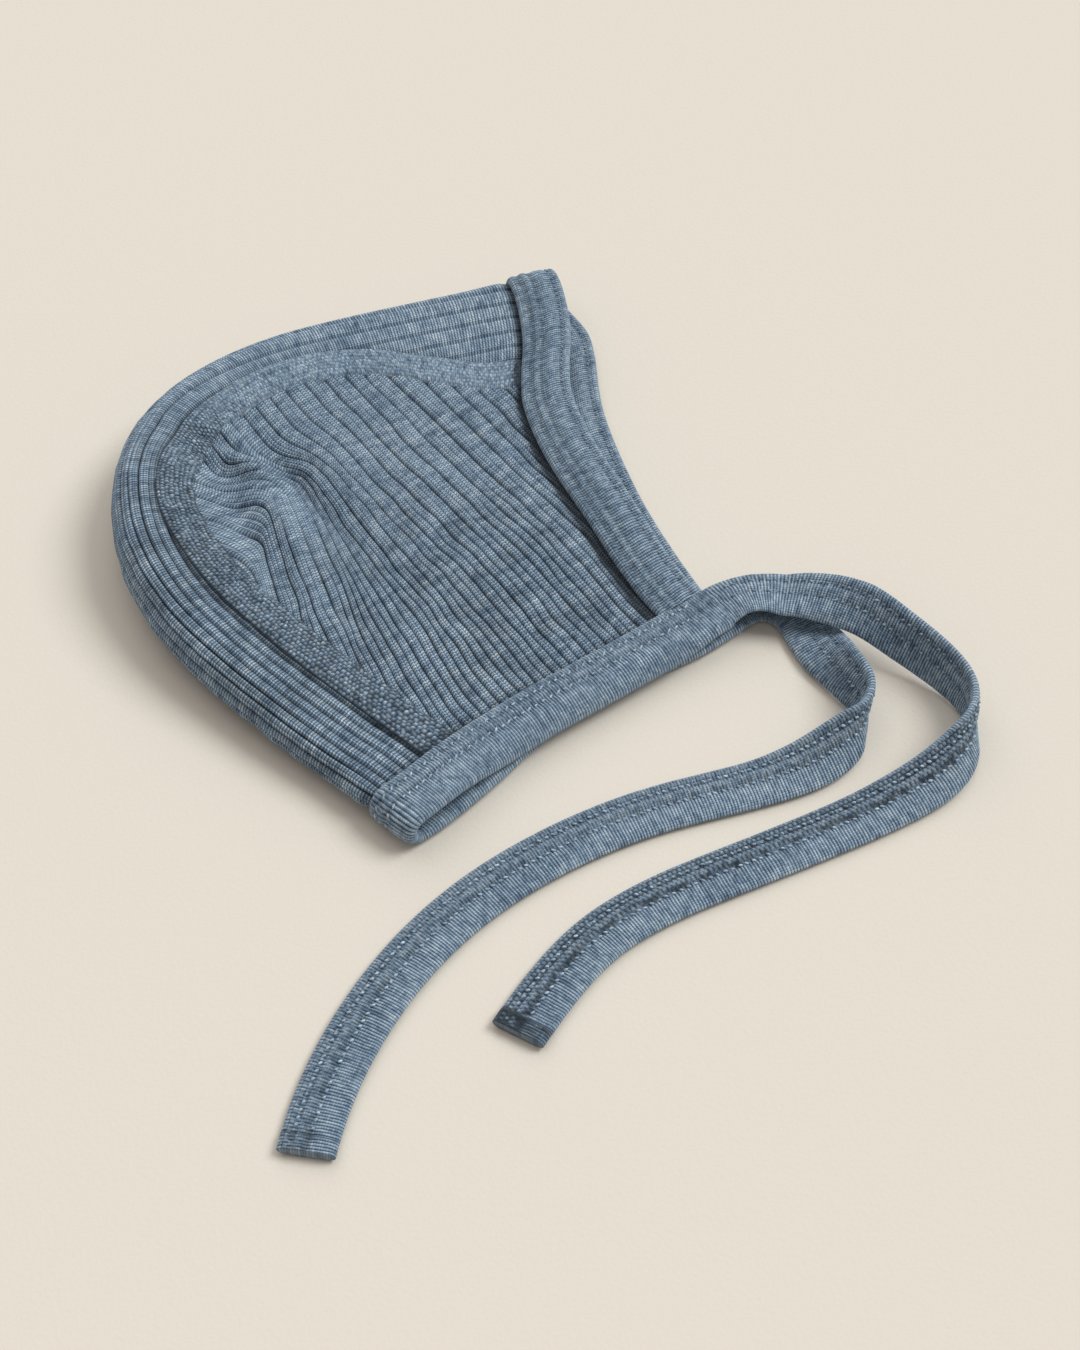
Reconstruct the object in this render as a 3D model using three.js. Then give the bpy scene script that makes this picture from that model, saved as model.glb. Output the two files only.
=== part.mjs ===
// Baby bonnet in rib-knit cloth, lying flat on its left side, with a flat tie at each chin corner.
// Millimetres. +X runs from the back of the head to the face opening, +Y from the neck to the top
// of the head, and +Z up from the table. The origin is on the table under the lower side panel.

import * as THREE from 'three';

// Cloth
const CLOTH = 1.4;                 // wall of the knitted panels
const BINDING_WALL = 1.0;          // wall of the bindings
const BINDING_WIDTH = 14;          // face and neck bindings, edge to edge
const SEAM_WIDTH = 10;             // flat seam between the centre panel and a side panel
const FIT_GAP = 0.3;               // between pieces that touch

// The folded bonnet, seen from above
const BONNET_DEPTH = 142;          // back of the head to the face edge
const BONNET_HEIGHT = 170;         // nape to the top of the head
const CENTRE_HALF_WIDTH = 32;      // centre panel, fold to seam, at the forehead

// Heights above the table
const CROWN_LOFT = 22;             // top of the fold at the back of the head
const SIDE_LOFT = 11.5;            // middle of the upper side panel
const FOLD_REACH = 36;             // how far in from the fold its height is felt
const EDGE_REACH = 36;             // how far in from the neck binding the upper layer rises
const LAYER_GAP = 0.5;             // between the two layers at the neck edge
const FOLD_ROUNDNESS = 0.9;        // depth of the fold's curve over its half height
const BINDING_CLEARANCE = 2;       // from a binding's inner edge to where the lower layer dips
const DIP_LENGTH = 12;             // over which the lower layer comes down to the table

// Ties
const RIGHT_TIE_LENGTH = 226;
const LEFT_TIE_LENGTH = 247;
const TIE_WIDTH = 13.4;
const TIE_THICKNESS = 2.6;
const TIE_EDGE_SHARE = 0.4;        // flat part of a tie's edge, as a share of its thickness
const TIE_SETTLE_SHARE = 0.1;      // of its length, over which a tie leaves the binding's height
const HEM_LENGTH = 4;              // turned-over end of a tie
const HEM_THICKNESS = 3.6;

// Mesh steps
const CROWN_STEPS = 34;            // along the fold
const FOLD_STEPS = 4;              // round the fold's curve, on each layer
const CENTRE_STEPS = 4;            // from that curve to the seam
const SIDE_STEPS = 13;             // from the seam to the chin corner
const EDGE_STEPS = 17;             // along a binding from the fold's curve to the chin
const TIE_STEPS = 56;
const TIE_SUBSTEPS = 8;            // between sections, when a tie's place is added up
const FILLET_SHARE = 0.3;          // rounding of an edge, as a share of its thickness
const CROWN_SAMPLES = 240;         // places on the fold tried when the nearest is looked for
const TANGENT_STEP = 0.004;        // share of the fold's length used to find its direction
const HALVINGS = 40;               // when the end of the face binding is looked for

// Shares that steer the pattern
const END_REACH = 0.12;            // of the fold, where the way in turns to the face and neck lines
const INSET_REACH = 0.3;           // of the fold, over which the edges' insets are felt
const NECK_TURN_SHARE = 0.45;      // of the neck line, over which its way in turns square to it
const PANEL_STOP = 0.93;           // of the way from the seam to the chin corner

const COLOURS = {
  centre: 0x71859a,
  side: 0x6f8496,
  seam: 0x617284,
  face: 0x7b8fa1,
  neck: 0x6a7f92,
  tie: 0x6d8295,
};

const BINDING_HALF = CLOTH / 2 + FIT_GAP + BINDING_WALL;
const EDGE_INSET = BINDING_WALL + FIT_GAP;
const UPPER = 1;
const LOWER = -1;

// The fold from the forehead to the nape. x is a share of BONNET_DEPTH, y of BONNET_HEIGHT, loft of
// CROWN_LOFT and seam of CENTRE_HALF_WIDTH.
const CROWN_ROWS = [
  { x: 0.415, y: 0.569, loft: 0.56, seam: 0.95 },
  { x: 0.280, y: 0.571, loft: 0.58, seam: 0.97 },
  { x: 0.141, y: 0.574, loft: 0.61, seam: 0.76 },
  { x: 0.000, y: 0.575, loft: 0.65, seam: 0.50 },
  { x: -0.141, y: 0.567, loft: 0.72, seam: 0.40 },
  { x: -0.262, y: 0.543, loft: 0.80, seam: 0.40 },
  { x: -0.371, y: 0.499, loft: 0.90, seam: 0.42 },
  { x: -0.463, y: 0.435, loft: 0.97, seam: 0.41 },
  { x: -0.527, y: 0.352, loft: 1.00, seam: 0.38 },
  { x: -0.560, y: 0.258, loft: 1.00, seam: 0.37 },
  { x: -0.567, y: 0.156, loft: 0.95, seam: 0.43 },
  { x: -0.541, y: 0.040, loft: 0.84, seam: 0.48 },
  { x: -0.483, y: -0.075, loft: 0.70, seam: 0.51 },
  { x: -0.412, y: -0.186, loft: 0.57, seam: 0.52 },
  { x: -0.333, y: -0.298, loft: 0.46, seam: 0.54 },
  { x: -0.256, y: -0.405, loft: 0.40, seam: 0.56 },
];

// The chin corner of both layers, in the same shares.
const CHIN_ROW = { x: 0.413, y: -0.212 };

// How far each layer's edge lies inside the straight line from fold to chin, as a share of that
// line's length, at stations along it.
const FACE_ROWS = [
  { along: 0.00, upper: 0.000, lower: 0.000 },
  { along: 0.06, upper: 0.002, lower: -0.012 },
  { along: 0.14, upper: 0.016, lower: -0.028 },
  { along: 0.21, upper: 0.036, lower: -0.018 },
  { along: 0.29, upper: 0.068, lower: 0.004 },
  { along: 0.37, upper: 0.090, lower: 0.022 },
  { along: 0.50, upper: 0.094, lower: 0.034 },
  { along: 0.65, upper: 0.080, lower: 0.036 },
  { along: 0.80, upper: 0.058, lower: 0.024 },
  { along: 0.92, upper: 0.028, lower: 0.008 },
  { along: 1.00, upper: 0.000, lower: 0.000 },
];
const NECK_ROWS = [
  { along: 0.00, upper: 0.000, lower: 0.000 },
  { along: 0.10, upper: 0.010, lower: 0.000 },
  { along: 0.25, upper: 0.026, lower: 0.006 },
  { along: 0.45, upper: 0.030, lower: 0.020 },
  { along: 0.70, upper: 0.014, lower: 0.006 },
  { along: 0.90, upper: 0.002, lower: -0.006 },
  { along: 1.00, upper: 0.000, lower: 0.000 },
];

// Soft folds of the upper layer: x and y as above, turn in degrees from +X to the fold's length,
// long and wide as shares of BONNET_DEPTH, rise as a share of CROWN_LOFT.
const FOLD_ROWS = [
  { x: -0.345, y: 0.300, turn: -50, long: 0.10, wide: 0.035, rise: -0.13 },
  { x: -0.285, y: 0.190, turn: 96, long: 0.17, wide: 0.040, rise: 0.12 },
  { x: -0.215, y: 0.270, turn: 110, long: 0.16, wide: 0.030, rise: -0.08 },
  { x: 0.210, y: 0.170, turn: 94, long: 0.25, wide: 0.045, rise: -0.05 },
];

// Each tie from its chin corner. along is a share of its length, heading is in degrees to the left
// of the neck line, tilt in degrees raises the edge on the left of the way, and lift is a share of
// TIE_WIDTH.
const RIGHT_TIE_ROWS = [
  { along: 0.00, heading: 0, tilt: 0, lift: 0.39 },
  { along: 0.035, heading: -22, tilt: -9, lift: 0.40 },
  { along: 0.07, heading: -43, tilt: -4, lift: 0.42 },
  { along: 0.11, heading: -59, tilt: 12, lift: 0.46 },
  { along: 0.145, heading: -67, tilt: 28, lift: 0.47 },
  { along: 0.18, heading: -71, tilt: 42, lift: 0.43 },
  { along: 0.23, heading: -77, tilt: 56, lift: 0.18 },
  { along: 0.285, heading: -88, tilt: 68, lift: 0.03 },
  { along: 0.325, heading: -109, tilt: 80, lift: 0.00 },
  { along: 0.365, heading: -139, tilt: 100, lift: 0.00 },
  { along: 0.405, heading: -166, tilt: 130, lift: 0.00 },
  { along: 0.455, heading: -186, tilt: 158, lift: 0.00 },
  { along: 0.53, heading: -192, tilt: 176, lift: 0.00 },
  { along: 0.64, heading: -194, tilt: 180, lift: 0.00 },
  { along: 0.74, heading: -193, tilt: 180, lift: 0.00 },
  { along: 0.82, heading: -184, tilt: 180, lift: 0.00 },
  { along: 0.90, heading: -168, tilt: 180, lift: 0.00 },
  { along: 1.00, heading: -158, tilt: 180, lift: 0.00 },
];
const LEFT_TIE_ROWS = [
  { along: 0.00, heading: 0, tilt: 0, lift: 0.04 },
  { along: 0.028, heading: -12, tilt: 1, lift: 0.02 },
  { along: 0.053, heading: -48, tilt: 3, lift: 0.00 },
  { along: 0.078, heading: -80, tilt: 4, lift: 0.00 },
  { along: 0.10, heading: -104, tilt: 6, lift: 0.00 },
  { along: 0.125, heading: -109, tilt: 11, lift: 0.00 },
  { along: 0.15, heading: -106, tilt: 27, lift: 0.00 },
  { along: 0.18, heading: -100, tilt: 50, lift: 0.00 },
  { along: 0.205, heading: -101, tilt: 60, lift: 0.00 },
  { along: 0.23, heading: -124, tilt: 76, lift: 0.00 },
  { along: 0.255, heading: -154, tilt: 98, lift: 0.00 },
  { along: 0.28, heading: -178, tilt: 130, lift: 0.00 },
  { along: 0.325, heading: -195, tilt: 162, lift: 0.00 },
  { along: 0.375, heading: -201, tilt: 178, lift: 0.00 },
  { along: 0.45, heading: -202, tilt: 180, lift: 0.00 },
  { along: 0.53, heading: -194, tilt: 180, lift: 0.00 },
  { along: 0.65, heading: -182, tilt: 180, lift: 0.00 },
  { along: 0.79, heading: -164, tilt: 180, lift: 0.00 },
  { along: 0.91, heading: -150, tilt: 180, lift: 0.00 },
  { along: 1.00, heading: -138, tilt: 180, lift: 0.00 },
];

const clamp01 = (value) => Math.min(1, Math.max(0, value));
const mix = (from, to, share) => from + (to - from) * share;
const smooth = (value) => clamp01(value) ** 2 * (3 - 2 * clamp01(value));
const radians = (degrees) => (degrees * Math.PI) / 180;
const unit = (x, y) => new THREE.Vector2(x, y).normalize();

// Reads a column of a table at any place, with a smooth cubic between the rows.
function readRows(rows, placeKey, key, place) {
  const last = rows.length - 1;
  const spot = Math.min(Math.max(place, rows[0][placeKey]), rows[last][placeKey]);
  let i = 0;
  while (i < last - 1 && rows[i + 1][placeKey] < spot) i += 1;
  const slope = (k) => {
    const before = rows[Math.max(0, k - 1)];
    const after = rows[Math.min(last, k + 1)];
    return (after[key] - before[key]) / (after[placeKey] - before[placeKey]);
  };
  const span = rows[i + 1][placeKey] - rows[i][placeKey];
  const t = (spot - rows[i][placeKey]) / span;
  const startWeight = (1 + 2 * t) * (1 - t) ** 2;
  const endWeight = t * t * (3 - 2 * t);
  const startTurn = t * (1 - t) ** 2 * span * slope(i);
  const endTurn = t * t * (t - 1) * span * slope(i + 1);
  return rows[i][key] * startWeight + rows[i + 1][key] * endWeight + startTurn + endTurn;
}

// The fold in millimetres, with each row's place along it as a share of its length.
function measureCrown() {
  const rows = CROWN_ROWS.map((row) => ({
    x: row.x * BONNET_DEPTH,
    y: row.y * BONNET_HEIGHT,
    loft: row.loft * CROWN_LOFT,
    seam: row.seam * CENTRE_HALF_WIDTH,
    along: 0,
  }));
  for (let i = 1; i < rows.length; i += 1) {
    rows[i].along = rows[i - 1].along + Math.hypot(rows[i].x - rows[i - 1].x, rows[i].y - rows[i - 1].y);
  }
  const length = rows[rows.length - 1].along;
  rows.forEach((row) => { row.along /= length; });
  return { rows, length };
}

const crown = measureCrown();
const chin = new THREE.Vector2(CHIN_ROW.x * BONNET_DEPTH, CHIN_ROW.y * BONNET_HEIGHT);

function crownPoint(u) {
  return new THREE.Vector2(readRows(crown.rows, 'along', 'x', u), readRows(crown.rows, 'along', 'y', u));
}

// The direction of the fold, from forehead to nape.
function crownTangent(u) {
  const ahead = crownPoint(Math.min(1, u + TANGENT_STEP));
  return ahead.sub(crownPoint(Math.max(0, u - TANGENT_STEP))).normalize();
}

const forehead = crownPoint(0);
const nape = crownPoint(1);
const faceLine = chin.clone().sub(forehead);
const neckLine = chin.clone().sub(nape);
const faceLength = faceLine.length();
const neckLength = neckLine.length();
faceLine.normalize();
neckLine.normalize();
const neckNormal = unit(-neckLine.y, neckLine.x);
const faceInward = crownTangent(0);
const napeInward = crownTangent(1).negate();

// The way in from the fold: square to it, but along the face and neck lines at its two ends.
function inward(u) {
  const tangent = crownTangent(u);
  const square = unit(-tangent.y, tangent.x);
  square.lerp(faceLine, 1 - smooth(u / END_REACH));
  square.lerp(neckLine, 1 - smooth((1 - u) / END_REACH));
  return square.normalize();
}

// The layers' edges, and the way in from them across the bindings.
function faceInset(side, distance) {
  const key = side === UPPER ? 'upper' : 'lower';
  return readRows(FACE_ROWS, 'along', key, distance / faceLength) * faceLength;
}

function neckInset(side, distance) {
  const key = side === UPPER ? 'upper' : 'lower';
  return readRows(NECK_ROWS, 'along', key, distance / neckLength) * neckLength;
}

function facePlan(side, distance, across) {
  const place = forehead.clone().addScaledVector(faceLine, distance);
  return place.addScaledVector(faceInward, faceInset(side, distance) + across);
}

function neckInward(distance) {
  const turn = smooth(distance / (neckLength * NECK_TURN_SHARE));
  return napeInward.clone().lerp(neckNormal, turn).normalize();
}

function neckPlan(side, distance, across) {
  const place = nape.clone().addScaledVector(neckLine, distance);
  return place.addScaledVector(neckInward(distance), neckInset(side, distance) + across);
}

// The nearest place on the fold to a point seen from above.
const crownSamples = [];
for (let i = 0; i <= CROWN_SAMPLES; i += 1) crownSamples.push(crownPoint(i / CROWN_SAMPLES));

function nearestOnCrown(plan) {
  let best = 0;
  let least = Infinity;
  crownSamples.forEach((sample, i) => {
    const gap = sample.distanceToSquared(plan);
    if (gap < least) {
      least = gap;
      best = i;
    }
  });
  const start = Math.max(0, best - 1);
  const end = Math.min(CROWN_SAMPLES, best + 1);
  const before = crownSamples[start];
  const chord = crownSamples[end].clone().sub(before);
  const share = clamp01(plan.clone().sub(before).dot(chord) / chord.lengthSq());
  const distance = before.clone().addScaledVector(chord, share).distanceTo(plan);
  return { u: mix(start, end, share) / CROWN_SAMPLES, distance };
}

function foldRise(plan) {
  let rise = 0;
  for (const fold of FOLD_ROWS) {
    const dx = plan.x - fold.x * BONNET_DEPTH;
    const dy = plan.y - fold.y * BONNET_HEIGHT;
    const turn = radians(fold.turn);
    const lengthwise = (dx * Math.cos(turn) + dy * Math.sin(turn)) / (fold.long * BONNET_DEPTH);
    const crosswise = (dy * Math.cos(turn) - dx * Math.sin(turn)) / (fold.wide * BONNET_DEPTH);
    rise += fold.rise * CROWN_LOFT * Math.exp(-(lengthwise ** 2) - crosswise ** 2);
  }
  return rise;
}

const upperEdgeHeight = 3 * BINDING_HALF + LAYER_GAP;

// Height of the lower layer's middle: on the table, and raised by the binding's thickness at edges.
function lowerHeight(plan) {
  const fromNeck = plan.clone().sub(nape).dot(neckNormal);
  const alongFace = plan.clone().sub(forehead).dot(faceLine);
  const fromFace = plan.clone().sub(forehead).dot(faceInward) - faceInset(LOWER, alongFace);
  const clear = BINDING_WIDTH + BINDING_CLEARANCE;
  const bareAtNeck = smooth((fromNeck - clear) / DIP_LENGTH);
  const bareAtFace = smooth((fromFace - clear) / DIP_LENGTH);
  return mix(BINDING_HALF, CLOTH / 2, Math.min(bareAtNeck, bareAtFace));
}

// Middle of the cloth at a point seen from above. distance is the way in from the fold where it is
// known to be on the fold's curve.
function clothPoint(plan, side, distance = Infinity) {
  const near = nearestOnCrown(plan);
  const loft = readRows(crown.rows, 'along', 'loft', near.u);
  const low = lowerHeight(plan);
  const fromNeck = plan.clone().sub(nape).dot(neckNormal);
  const flat = mix(upperEdgeHeight, SIDE_LOFT, smooth((fromNeck - BINDING_WIDTH) / EDGE_REACH));
  const felt = Math.exp(-((near.distance / FOLD_REACH) ** 2));
  const high = mix(flat, loft, felt) + foldRise(plan);
  const centre = (loft + low) / 2;
  const depth = FOLD_ROUNDNESS * (loft - centre);
  const opened = distance < depth ? Math.sqrt(1 - (1 - distance / depth) ** 2) : 1;
  const z = side === UPPER ? mix(centre, high, opened) : mix(centre, low, opened);
  return new THREE.Vector3(plan.x, plan.y, z);
}

// How deep the fold's curve reaches in from the fold at a place along it.
function foldDepth(u) {
  const loft = readRows(crown.rows, 'along', 'loft', u);
  return (FOLD_ROUNDNESS * (loft - lowerHeight(crownPoint(u)))) / 2;
}

// Stations round the fold: from 0 at the fold to reach, even in angle on the curve and even after.
function stationsFromFold(depth, reach, steps) {
  const places = [];
  for (let i = 0; i < FOLD_STEPS; i += 1) {
    places.push(depth * (1 - Math.cos((Math.PI / 2) * (i / FOLD_STEPS))));
  }
  for (let i = 0; i <= steps; i += 1) places.push(mix(depth, reach, i / steps));
  return places;
}

// Normals of a grid of points, from the neighbours' differences.
function gridNormals(grid) {
  const rows = grid.length;
  const columns = grid[0].length;
  return grid.map((line, i) => line.map((_, j) => {
    const down = grid[Math.min(rows - 1, i + 1)][j].clone().sub(grid[Math.max(0, i - 1)][j]);
    const over = grid[i][Math.min(columns - 1, j + 1)].clone().sub(grid[i][Math.max(0, j - 1)]);
    return down.cross(over).normalize();
  }));
}

// A geometry from points and triangles, turned so that its faces point out.
function solidFrom(points, triangles) {
  let volume = 0;
  for (const [a, b, c] of triangles) {
    volume += points[a].dot(points[b].clone().cross(points[c]));
  }
  const faces = volume < 0 ? triangles.map(([a, b, c]) => [a, c, b]) : triangles;
  const geometry = new THREE.BufferGeometry();
  const numbers = points.flatMap((point) => [point.x, point.y, point.z]);
  geometry.setAttribute('position', new THREE.Float32BufferAttribute(numbers, 3));
  geometry.setIndex(faces.flat());
  geometry.computeVertexNormals();
  return geometry;
}

// A sheet of cloth: a grid of middle points given a thickness and closed round its rim.
function sheetSolid(grid, thickness) {
  const normals = gridNormals(grid);
  const rows = grid.length;
  const columns = grid[0].length;
  const points = [];
  for (const offset of [thickness / 2, -thickness / 2]) {
    grid.forEach((line, i) => line.forEach((point, j) => {
      points.push(point.clone().addScaledVector(normals[i][j], offset));
    }));
  }
  const top = (i, j) => i * columns + j;
  const under = (i, j) => rows * columns + i * columns + j;
  const triangles = [];
  const quad = (a, b, c, d) => triangles.push([a, b, c], [a, c, d]);
  for (let i = 0; i < rows - 1; i += 1) {
    for (let j = 0; j < columns - 1; j += 1) {
      quad(top(i, j), top(i + 1, j), top(i + 1, j + 1), top(i, j + 1));
      quad(under(i, j), under(i, j + 1), under(i + 1, j + 1), under(i + 1, j));
    }
  }
  for (let i = 0; i < rows - 1; i += 1) {
    quad(top(i, 0), under(i, 0), under(i + 1, 0), top(i + 1, 0));
    quad(top(i, columns - 1), top(i + 1, columns - 1), under(i + 1, columns - 1), under(i, columns - 1));
  }
  for (let j = 0; j < columns - 1; j += 1) {
    quad(top(0, j), top(0, j + 1), under(0, j + 1), under(0, j));
    quad(top(rows - 1, j), under(rows - 1, j), under(rows - 1, j + 1), top(rows - 1, j + 1));
  }
  return solidFrom(points, triangles);
}

// Sections of equal point count joined into a closed solid with flat ends.
function loftSolid(sections, outline) {
  const count = outline.length;
  const points = sections.flat();
  const triangles = [];
  for (let i = 0; i < sections.length - 1; i += 1) {
    for (let j = 0; j < count; j += 1) {
      const a = i * count + j;
      const b = i * count + ((j + 1) % count);
      triangles.push([a, b, b + count], [a, b + count, a + count]);
    }
  }
  const cap = THREE.ShapeUtils.triangulateShape(outline, []);
  const end = (sections.length - 1) * count;
  for (const [a, b, c] of cap) {
    triangles.push([a, c, b], [end + a, end + b, end + c]);
  }
  return solidFrom(points, triangles);
}

// Where the seam's outer and inner edges lie, in from the fold.
const seamOuter = (u) => readRows(crown.rows, 'along', 'seam', u);
const seamInner = (u) => seamOuter(u) + SEAM_WIDTH;

// A place in from the fold, drawn in at the two ends as the layer's edges are.
function crownPlan(side, u, distance) {
  const place = crownPoint(u).addScaledVector(inward(u), distance);
  const faceShare = 1 - smooth(u / INSET_REACH);
  const neckShare = 1 - smooth((1 - u) / INSET_REACH);
  place.addScaledVector(faceInward, faceInset(side, distance) * faceShare);
  return place.addScaledVector(neckInward(distance), neckInset(side, distance) * neckShare);
}

function centrePanel() {
  const grid = [];
  for (let i = 0; i <= CROWN_STEPS; i += 1) {
    const u = i / CROWN_STEPS;
    const places = stationsFromFold(foldDepth(u), seamOuter(u) - FIT_GAP / 2, CENTRE_STEPS);
    const point = (side, place) => clothPoint(crownPlan(side, u, place), side, place);
    const lower = places.slice(1).reverse().map((place) => point(LOWER, place));
    const upper = places.map((place) => point(UPPER, place));
    grid.push([...lower, ...upper]);
  }
  return sheetSolid(grid, CLOTH);
}

function seamBand(side) {
  const grid = [];
  for (let i = 0; i <= CROWN_STEPS; i += 1) {
    const u = i / CROWN_STEPS;
    const line = [];
    for (const share of [0, 0.5, 1]) {
      const place = mix(seamOuter(u) + FIT_GAP / 2, seamInner(u) - FIT_GAP / 2, share);
      line.push(clothPoint(crownPlan(side, u, place), side));
    }
    grid.push(line);
  }
  return sheetSolid(grid, CLOTH);
}

// A side panel: lines from the seam towards the chin corner, stopped short of the corner.
function sidePanel(side) {
  const faceStart = seamInner(0) + FIT_GAP / 2;
  const neckStart = seamInner(1) + FIT_GAP / 2;
  const corner = facePlan(side, faceLength, 0);
  const grid = [];
  for (let i = 0; i <= CROWN_STEPS; i += 1) {
    const u = i / CROWN_STEPS;
    const top = crownPlan(side, u, seamInner(u) + FIT_GAP / 2);
    const line = [];
    for (let j = 0; j <= SIDE_STEPS; j += 1) {
      const r = (PANEL_STOP * j) / SIDE_STEPS;
      const faceSpot = facePlan(side, mix(faceStart, faceLength, r), 0);
      const neckSpot = neckPlan(side, mix(neckStart, neckLength, r), 0);
      const faceShift = faceSpot.sub(crownPlan(side, 0, faceStart).lerp(corner, r));
      const neckShift = neckSpot.sub(crownPlan(side, 1, neckStart).lerp(corner, r));
      const plan = top.clone().lerp(corner, r);
      plan.addScaledVector(faceShift, 1 - u).addScaledVector(neckShift, u);
      line.push(clothPoint(plan, side));
    }
    grid.push(line);
  }
  return sheetSolid(grid, CLOTH);
}

// Section of a binding: places across it (in from the cloth's edge) and heights off the cloth's
// middle, round a U that holds the cloth's edge.
function bindingOutline() {
  const far = BINDING_WIDTH - EDGE_INSET;
  const middle = far / 2;
  const outer = BINDING_HALF;
  const inner = BINDING_HALF - BINDING_WALL;
  const fillet = FILLET_SHARE * BINDING_HALF * 2;
  const half = [
    { across: far, off: inner },
    { across: far, off: outer },
    { across: middle, off: outer },
    { across: fillet - EDGE_INSET, off: outer },
    { across: -EDGE_INSET, off: outer - fillet },
  ];
  const back = half.map((spot) => ({ across: spot.across, off: -spot.off })).reverse();
  const inside = [
    { across: middle, off: -inner },
    { across: -FIT_GAP, off: -inner },
    { across: -FIT_GAP, off: inner },
    { across: middle, off: inner },
  ];
  return [...half, ...back, ...inside];
}

// A binding lofted along an edge. stations hold the side and distance from the fold, and planAt
// gives the place seen from above.
function bindingSolid(stations, planAt) {
  const outline = bindingOutline();
  const acrosses = [...new Set(outline.map((spot) => spot.across))].sort((a, b) => a - b);
  const grid = stations.map((station) => acrosses.map((across) => {
    const { plan, distance } = planAt(station, across);
    return clothPoint(plan, station.side, distance);
  }));
  const normals = gridNormals(grid);
  const sections = stations.map((_, k) => outline.map((spot) => {
    const column = acrosses.indexOf(spot.across);
    return grid[k][column].clone().addScaledVector(normals[k][column], spot.off);
  }));
  return loftSolid(sections, outline.map((spot) => new THREE.Vector2(spot.across, spot.off)));
}

function edgeStations(depth, reach) {
  const places = stationsFromFold(depth, reach, EDGE_STEPS);
  const lower = places.slice(1).reverse().map((distance) => ({ side: LOWER, distance }));
  const upper = places.map((distance) => ({ side: UPPER, distance }));
  return [...lower, ...upper];
}

// The distance down the face line at which the face binding meets the neck binding.
function faceStop(side, across) {
  let near = faceLength / 2;
  let far = faceLength;
  for (let i = 0; i < HALVINGS; i += 1) {
    const middle = (near + far) / 2;
    const plan = facePlan(side, middle, across);
    const alongNeck = plan.clone().sub(nape).dot(neckLine);
    const rise = plan.clone().sub(nape).dot(neckNormal) - neckInset(side, alongNeck);
    if (rise > BINDING_WIDTH - EDGE_INSET + FIT_GAP) near = middle;
    else far = middle;
  }
  return near;
}

function faceBinding() {
  const reach = faceStop(UPPER, 0);
  return bindingSolid(edgeStations(foldDepth(0), reach), (station, across) => {
    const distance = (station.distance * faceStop(station.side, across)) / reach;
    return { plan: facePlan(station.side, distance, across), distance };
  });
}

// How far along the neck line the neck binding runs, to cover the end of the face binding.
function neckStop(side) {
  const corner = facePlan(side, faceStop(side, 0), 0);
  return neckLength + EDGE_INSET + Math.max(0, corner.sub(chin).dot(neckLine));
}

function neckBinding() {
  const reach = neckStop(UPPER);
  return bindingSolid(edgeStations(foldDepth(1), reach), (station, across) => {
    const distance = (station.distance * neckStop(station.side)) / reach;
    return { plan: neckPlan(station.side, distance, across), distance };
  });
}

// A tie: a flat strap whose middle line turns by its table from the chin corner.
function tieSolid(side, rows, length) {
  const middle = BINDING_WIDTH / 2 - EDGE_INSET;
  const startPlan = neckPlan(side, neckStop(side) + FIT_GAP, middle);
  const neckAngle = neckLine.angle();
  const startHeight = clothPoint(startPlan, side).z;
  const restingHeight = (along) => {
    const tilt = radians(readRows(rows, 'along', 'tilt', along));
    const half = (Math.abs(Math.sin(tilt)) * TIE_WIDTH + Math.abs(Math.cos(tilt)) * TIE_THICKNESS) / 2;
    return half + readRows(rows, 'along', 'lift', along) * TIE_WIDTH;
  };
  const startRise = startHeight - restingHeight(0);
  const half = TIE_WIDTH / 2;
  const round = half - TIE_THICKNESS * FILLET_SHARE;
  const edge = TIE_EDGE_SHARE;
  const corner = (across, off) => new THREE.Vector2(across, off);
  const outline = [
    corner(round, 1), corner(-round, 1), corner(-half, edge), corner(-half, -edge),
    corner(-round, -1), corner(round, -1), corner(half, -edge), corner(half, edge),
  ];
  const place = startPlan.clone();
  const sections = [];
  const hemStart = 1 - HEM_LENGTH / length;
  for (let i = 0; i <= TIE_STEPS; i += 1) {
    const along = i === TIE_STEPS - 1 ? hemStart : i / TIE_STEPS;
    const heading = neckAngle + radians(readRows(rows, 'along', 'heading', along));
    const tilt = radians(readRows(rows, 'along', 'tilt', along));
    const way = unit(Math.cos(heading), Math.sin(heading));
    const across = new THREE.Vector3(-way.y * Math.cos(tilt), way.x * Math.cos(tilt), Math.sin(tilt));
    const off = new THREE.Vector3(way.x, way.y, 0).cross(across);
    const settle = 1 - smooth(along / TIE_SETTLE_SHARE);
    const centre = new THREE.Vector3(place.x, place.y, restingHeight(along) + startRise * settle);
    const thickness = along >= hemStart ? HEM_THICKNESS : TIE_THICKNESS;
    centre.z += (thickness - TIE_THICKNESS) / 2;
    sections.push(outline.map((spot) => centre.clone()
      .addScaledVector(across, spot.x)
      .addScaledVector(off, (spot.y * thickness) / 2)));
    const next = i === TIE_STEPS - 2 ? hemStart : Math.min(1, (i + 1) / TIE_STEPS);
    for (let k = 0; k < TIE_SUBSTEPS; k += 1) {
      const spot = mix(along, next, (k + 0.5) / TIE_SUBSTEPS);
      const turn = neckAngle + radians(readRows(rows, 'along', 'heading', spot));
      const step = ((next - along) * length) / TIE_SUBSTEPS;
      place.addScaledVector(unit(Math.cos(turn), Math.sin(turn)), step);
    }
  }
  return loftSolid(sections, outline);
}

const material = (color) => new THREE.MeshStandardMaterial({ color, roughness: 0.95, metalness: 0 });
const group = new THREE.Group();

function addPiece(name, geometry, color) {
  const mesh = new THREE.Mesh(geometry, material(color));
  mesh.name = name;
  group.add(mesh);
}

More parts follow.
